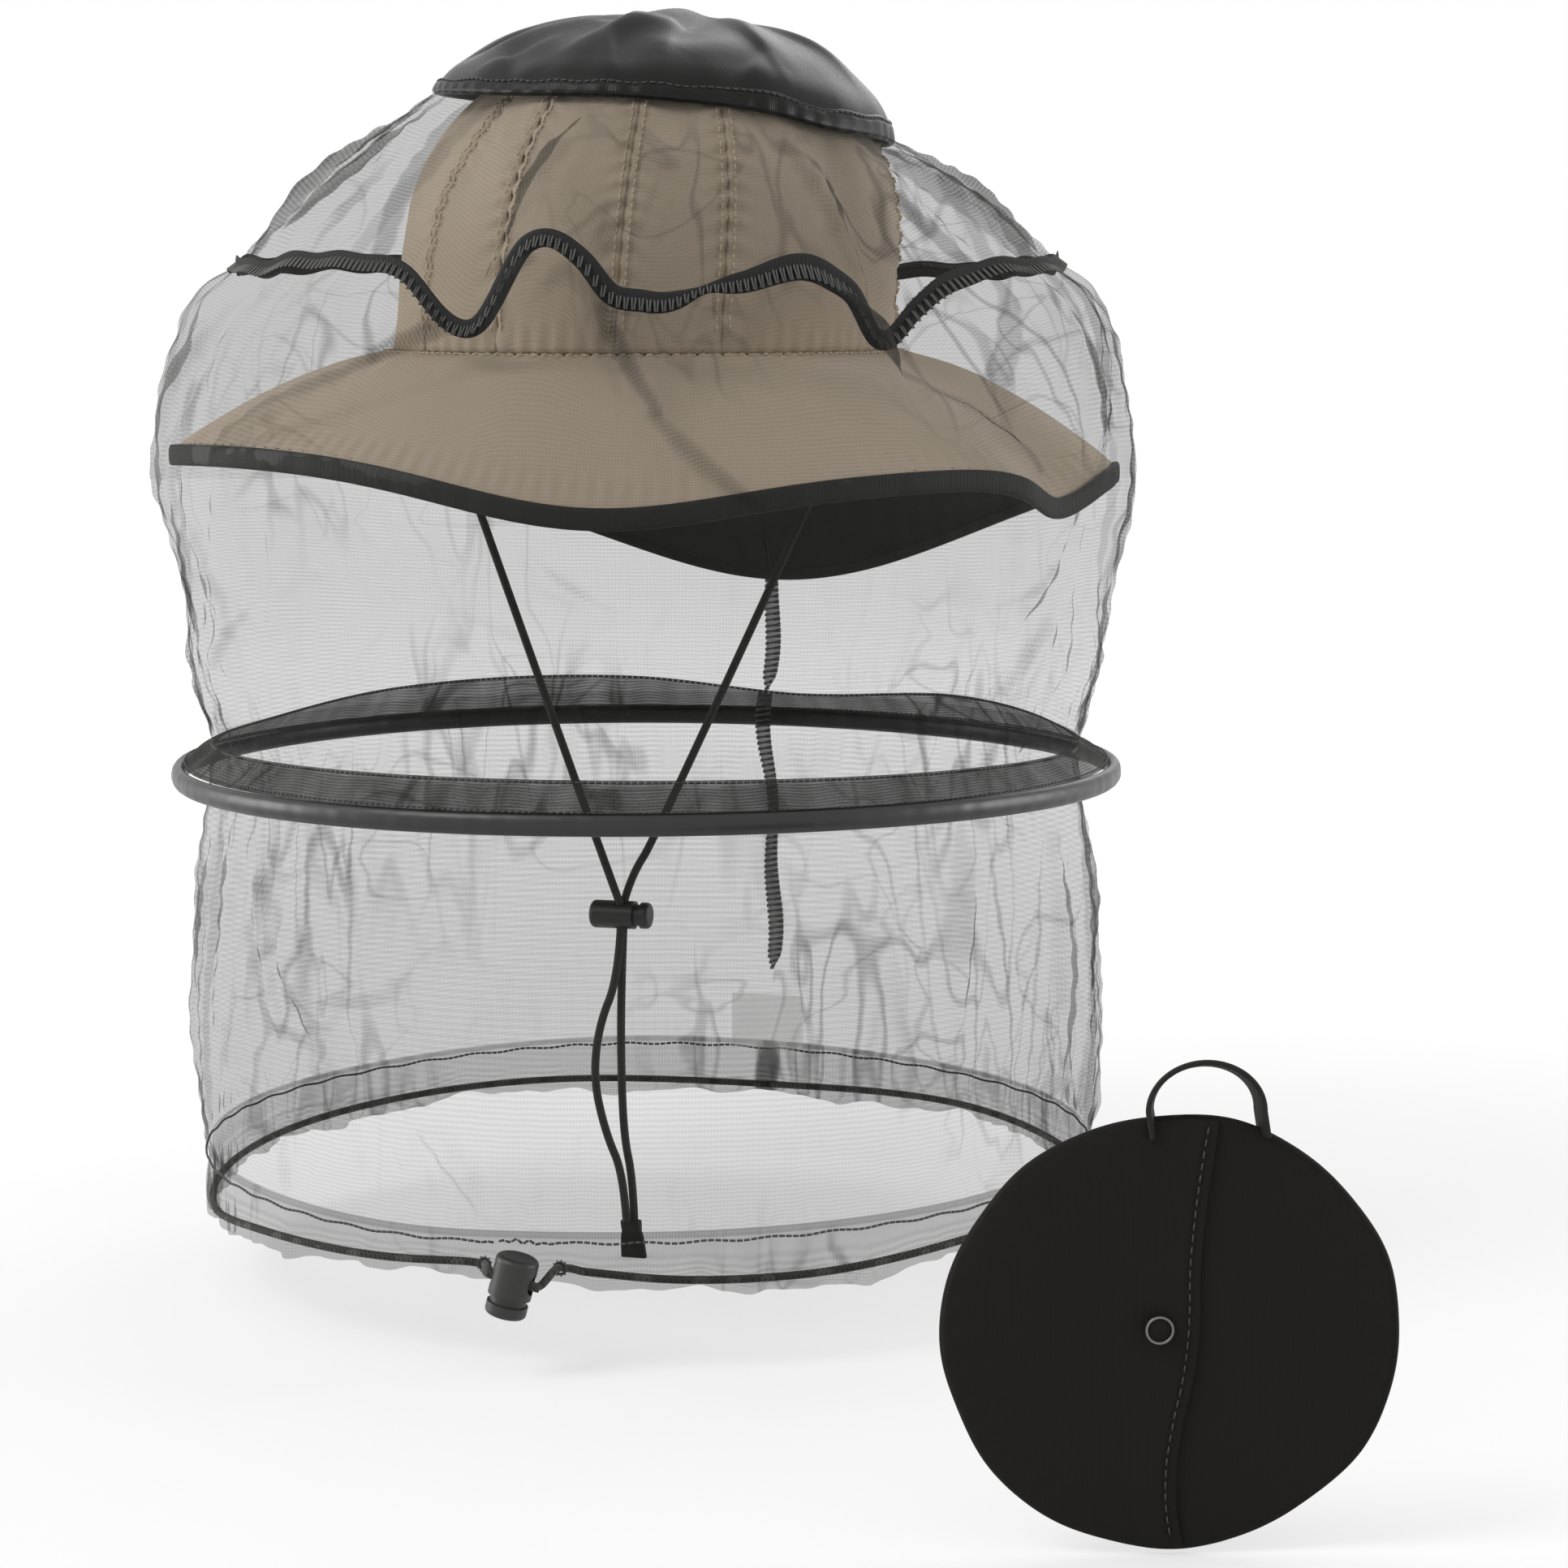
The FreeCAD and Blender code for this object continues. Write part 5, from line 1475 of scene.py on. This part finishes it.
class VEIL_OT_pouch(bpy.types.Operator):
    """Round storage pouch with a lapped front seam, a bound edge, a snap and a webbing handle"""

    bl_idname = "veil.pouch"
    bl_label = "Storage pouch"

    def execute(self, context):
        cloth = FINISHES["pouch"]
        inner = (POUCH_HALF[0] - 0.5 * POUCH_EDGE) / POUCH_HALF[0]
        for name, side, node in (("pouch_front_left", -1, "pouch_front_left_panel"),
                                 ("pouch_front_right", 1, "pouch_front_right_panel")):
            mesh, u, v = new_grid(name, 110, 120)
            z = (v - 0.5) * 2 * POUCH_HALF[1] * inner * 0.999
            edge = POUCH_HALF[0] * inner * np.sqrt(np.clip(1 - (z / (POUCH_HALF[1] * inner)) ** 2, 0, 1))
            rim_turn = np.arctan2(z / POUCH_HALF[1], edge / POUCH_HALF[0] * (-1 if side < 0 else 1))
            seam = seam_x(z) - (0.0 if side < 0 else PANEL_LAP)
            meeting = np.clip(seam, -edge, edge)
            start, end = (-edge, meeting) if side < 0 else (meeting, edge)
            x = start + (end - start) * u
            share = np.clip(np.hypot(x / POUCH_HALF[0], z / POUCH_HALF[1]), 0, 1)
            turn = np.arctan2(z / POUCH_HALF[1], x / POUCH_HALF[0])
            lap = 0.9 * smooth(16, 0, seam - x) + 0.5 if side < 0 else 0.0
            points = pouch_face(context, turn, share, 1, lap)
            near_rim = smooth(0.3, 1.0, np.abs(x) / np.maximum(edge, 1))
            points[..., 0] = x * (1 + (pouch_outline(rim_turn) - 1) * near_rim)
            if side < 0:
                points[..., 1] += 0.35 * np.exp(-(((seam - x - 3.0) / 0.7) ** 2))
            put(mesh, pouch_place(points), (60, 120))
            owned(thickened(linked(name, mesh, cloth), 0.0009), "pouch", "pouch_cloth", node)
        mesh, u, v = new_grid("pouch_back", 160, 50)
        turn = -2 * math.pi * u
        points = pouch_face(context, turn, inner * (1 - v), -1, 0.0)
        put(mesh, pouch_place(points), (300, 62))
        owned(thickened(linked("pouch_back", mesh, cloth), 0.0009), "pouch", "pouch_cloth",
              "pouch_back_panel")

        turn = np.linspace(0, 2 * math.pi, 361)
        rim = np.stack([(POUCH_HALF[0] * pouch_outline(turn) - POUCH_EDGE) * np.cos(turn), 0 * turn,
                        (POUCH_HALF[1] * pouch_outline(turn) - POUCH_EDGE) * np.sin(turn)], 1)
        out = np.stack([np.cos(turn), 0 * turn, np.sin(turn)], 1)
        bulge = 1 + 0.05 * np.sin(turn * 37 + 2 * np.sin(turn * 4))
        sections = round_section(POUCH_EDGE, 12)[:, None, :] * np.stack([1 + 0 * bulge, bulge], 1)[None]
        spun = pouch_turned(out)
        owned(sweep("pouch_edge", pouch_place(rim), sections, cloth, spun, closed=True), "pouch",
              "pouch_cloth", "pouch_edge_binding")

        place = pouch_place(np.array([SNAP_AT[0], -5.9, SNAP_AT[1]]))
        circle = np.linspace(0, 2 * math.pi, 65)
        loop = np.stack([SNAP_AT[0] + (SNAP_RADIUS - 0.5) * np.cos(circle), -6.2 + 0 * circle,
                         SNAP_AT[1] + (SNAP_RADIUS - 0.5) * np.sin(circle)], 1)
        away = np.stack([np.cos(circle), 0 * circle, np.sin(circle)], 1)
        owned(sweep("pouch_snap_ring", pouch_place(loop), pad_section(0.9, 1.1, 10, 0.9), FINISHES["snap"],
                    pouch_turned(away), closed=True), "pouch", "snap_metal")
        bm = started()
        bmesh.ops.create_cone(bm, cap_ends=True, segments=48, radius1=SNAP_RADIUS * MM * 0.93,
                              radius2=SNAP_RADIUS * MM * 0.80, depth=0.0009, calc_uvs=True)
        facing = Matrix.Rotation(math.radians(POUCH_TURN), 4, "Z") @ Matrix.Rotation(math.radians(90), 4, "X")
        bmesh.ops.transform(bm, matrix=Matrix.Translation(Vector(place) * MM) @ facing, verts=bm.verts)
        button = linked("pouch_snap_button", ended(bm, "pouch_snap_button"), FINISHES["pouch"])
        owned(button, "pouch", "snap_metal", "pouch_snap_cap")

        z = np.linspace(-58, 60, 400)
        x = seam_x(z) - 3.0
        share = np.hypot(x / POUCH_HALF[0], z / POUCH_HALF[1])
        line = pouch_face(context, np.arctan2(z / POUCH_HALF[1], x / POUCH_HALF[0]), share, 1, 1.5)
        facing = pouch_turned(np.array([[0, -1.0, 0]]))
        owned(running_stitch("pouch_seam_stitching", pouch_place(line), facing, 3.4, 0.6, 0.5,
                             FINISHES["pouch_thread"], 0.1), "pouch", "pouch_cloth")

        # Webbing handle: up one side, over and down the other, its edge towards the front at the top
        share = np.linspace(0, 1, 121)
        arch = np.clip((share - HANDLE_LEG) / (1 - 2 * HANDLE_LEG), 0, 1)
        rise, fall = share / HANDLE_LEG, (1 - share) / HANDLE_LEG
        hx = np.where(arch <= 0, -HANDLE_HALF + 1.2 * (1 - rise),
                      np.where(arch >= 1, HANDLE_HALF + 1.2 * (1 - fall),
                               -HANDLE_HALF * np.cos(arch * math.pi)))
        foot, shoulder = POUCH_HALF[1] - 7.0, POUCH_HALF[1] + 0.5
        hz = np.where(arch <= 0, foot + (shoulder - foot) * rise,
                      np.where(arch >= 1, foot + (shoulder - foot) * fall,
                               shoulder + HANDLE_RISE * np.sin(arch * math.pi)))
        path = pouch_place(np.stack([hx + HANDLE_ASIDE, -0.6 + 0 * hx, hz], 1))
        aside = np.where(arch <= 0, -1.0, np.where(arch >= 1, 1.0, -np.cos(arch * math.pi)))
        outward = pouch_turned(np.stack([aside, 0.25 + 0 * hx, np.sin(arch * math.pi)], 1))
        handle = sweep("pouch_handle_strap", path, pad_section(1.7, 8.0, 14, 0.45), FINISHES["webbing"],
                       outward)
        owned(handle, "pouch", "webbing", "pouch_handle")
        return {"FINISHED"}


# ---------------------------------------------------------------- panel and registration
GROUPS = {"veil_net": VeilNet, "veil_hat": VeilHat, "veil_cord": VeilCord, "veil_pouch": VeilPouch,
          "veil_stage": VeilStage}
STEPS = [VEIL_OT_stage, VEIL_OT_chin_cord, VEIL_OT_crown, VEIL_OT_brim, VEIL_OT_dome, VEIL_OT_upper_net,
         VEIL_OT_ring, VEIL_OT_lower_net, VEIL_OT_hem, VEIL_OT_pouch]


class VEIL_PT_panel(bpy.types.Panel):
    """Sizes, colours and pieces of the veil"""

    bl_label = "Beekeeping Veil"
    bl_idname = "VEIL_PT_panel"
    bl_space_type = "VIEW_3D"
    bl_region_type = "UI"
    bl_category = "Veil"

    def draw(self, context):
        for group, kind in GROUPS.items():
            box = self.layout.box()
            for name in kind.__annotations__:
                box.prop(getattr(context.scene, group), name)
        for step in STEPS:
            self.layout.operator(step.bl_idname)


def register():
    for kind in [*GROUPS.values(), *STEPS, VEIL_PT_panel]:
        bpy.utils.register_class(kind)
    for name, kind in GROUPS.items():
        setattr(bpy.types.Scene, name, bpy.props.PointerProperty(type=kind))


def unregister():
    for name in GROUPS:
        delattr(bpy.types.Scene, name)
    for kind in reversed([*GROUPS.values(), *STEPS, VEIL_PT_panel]):
        bpy.utils.unregister_class(kind)


def main():
    register()
    make_finishes()
    for step in STEPS:
        group, name = step.bl_idname.split(".")
        getattr(getattr(bpy.ops, group), name)()
    bpy.context.view_layer.update()


if __name__ == "__main__":
    main()
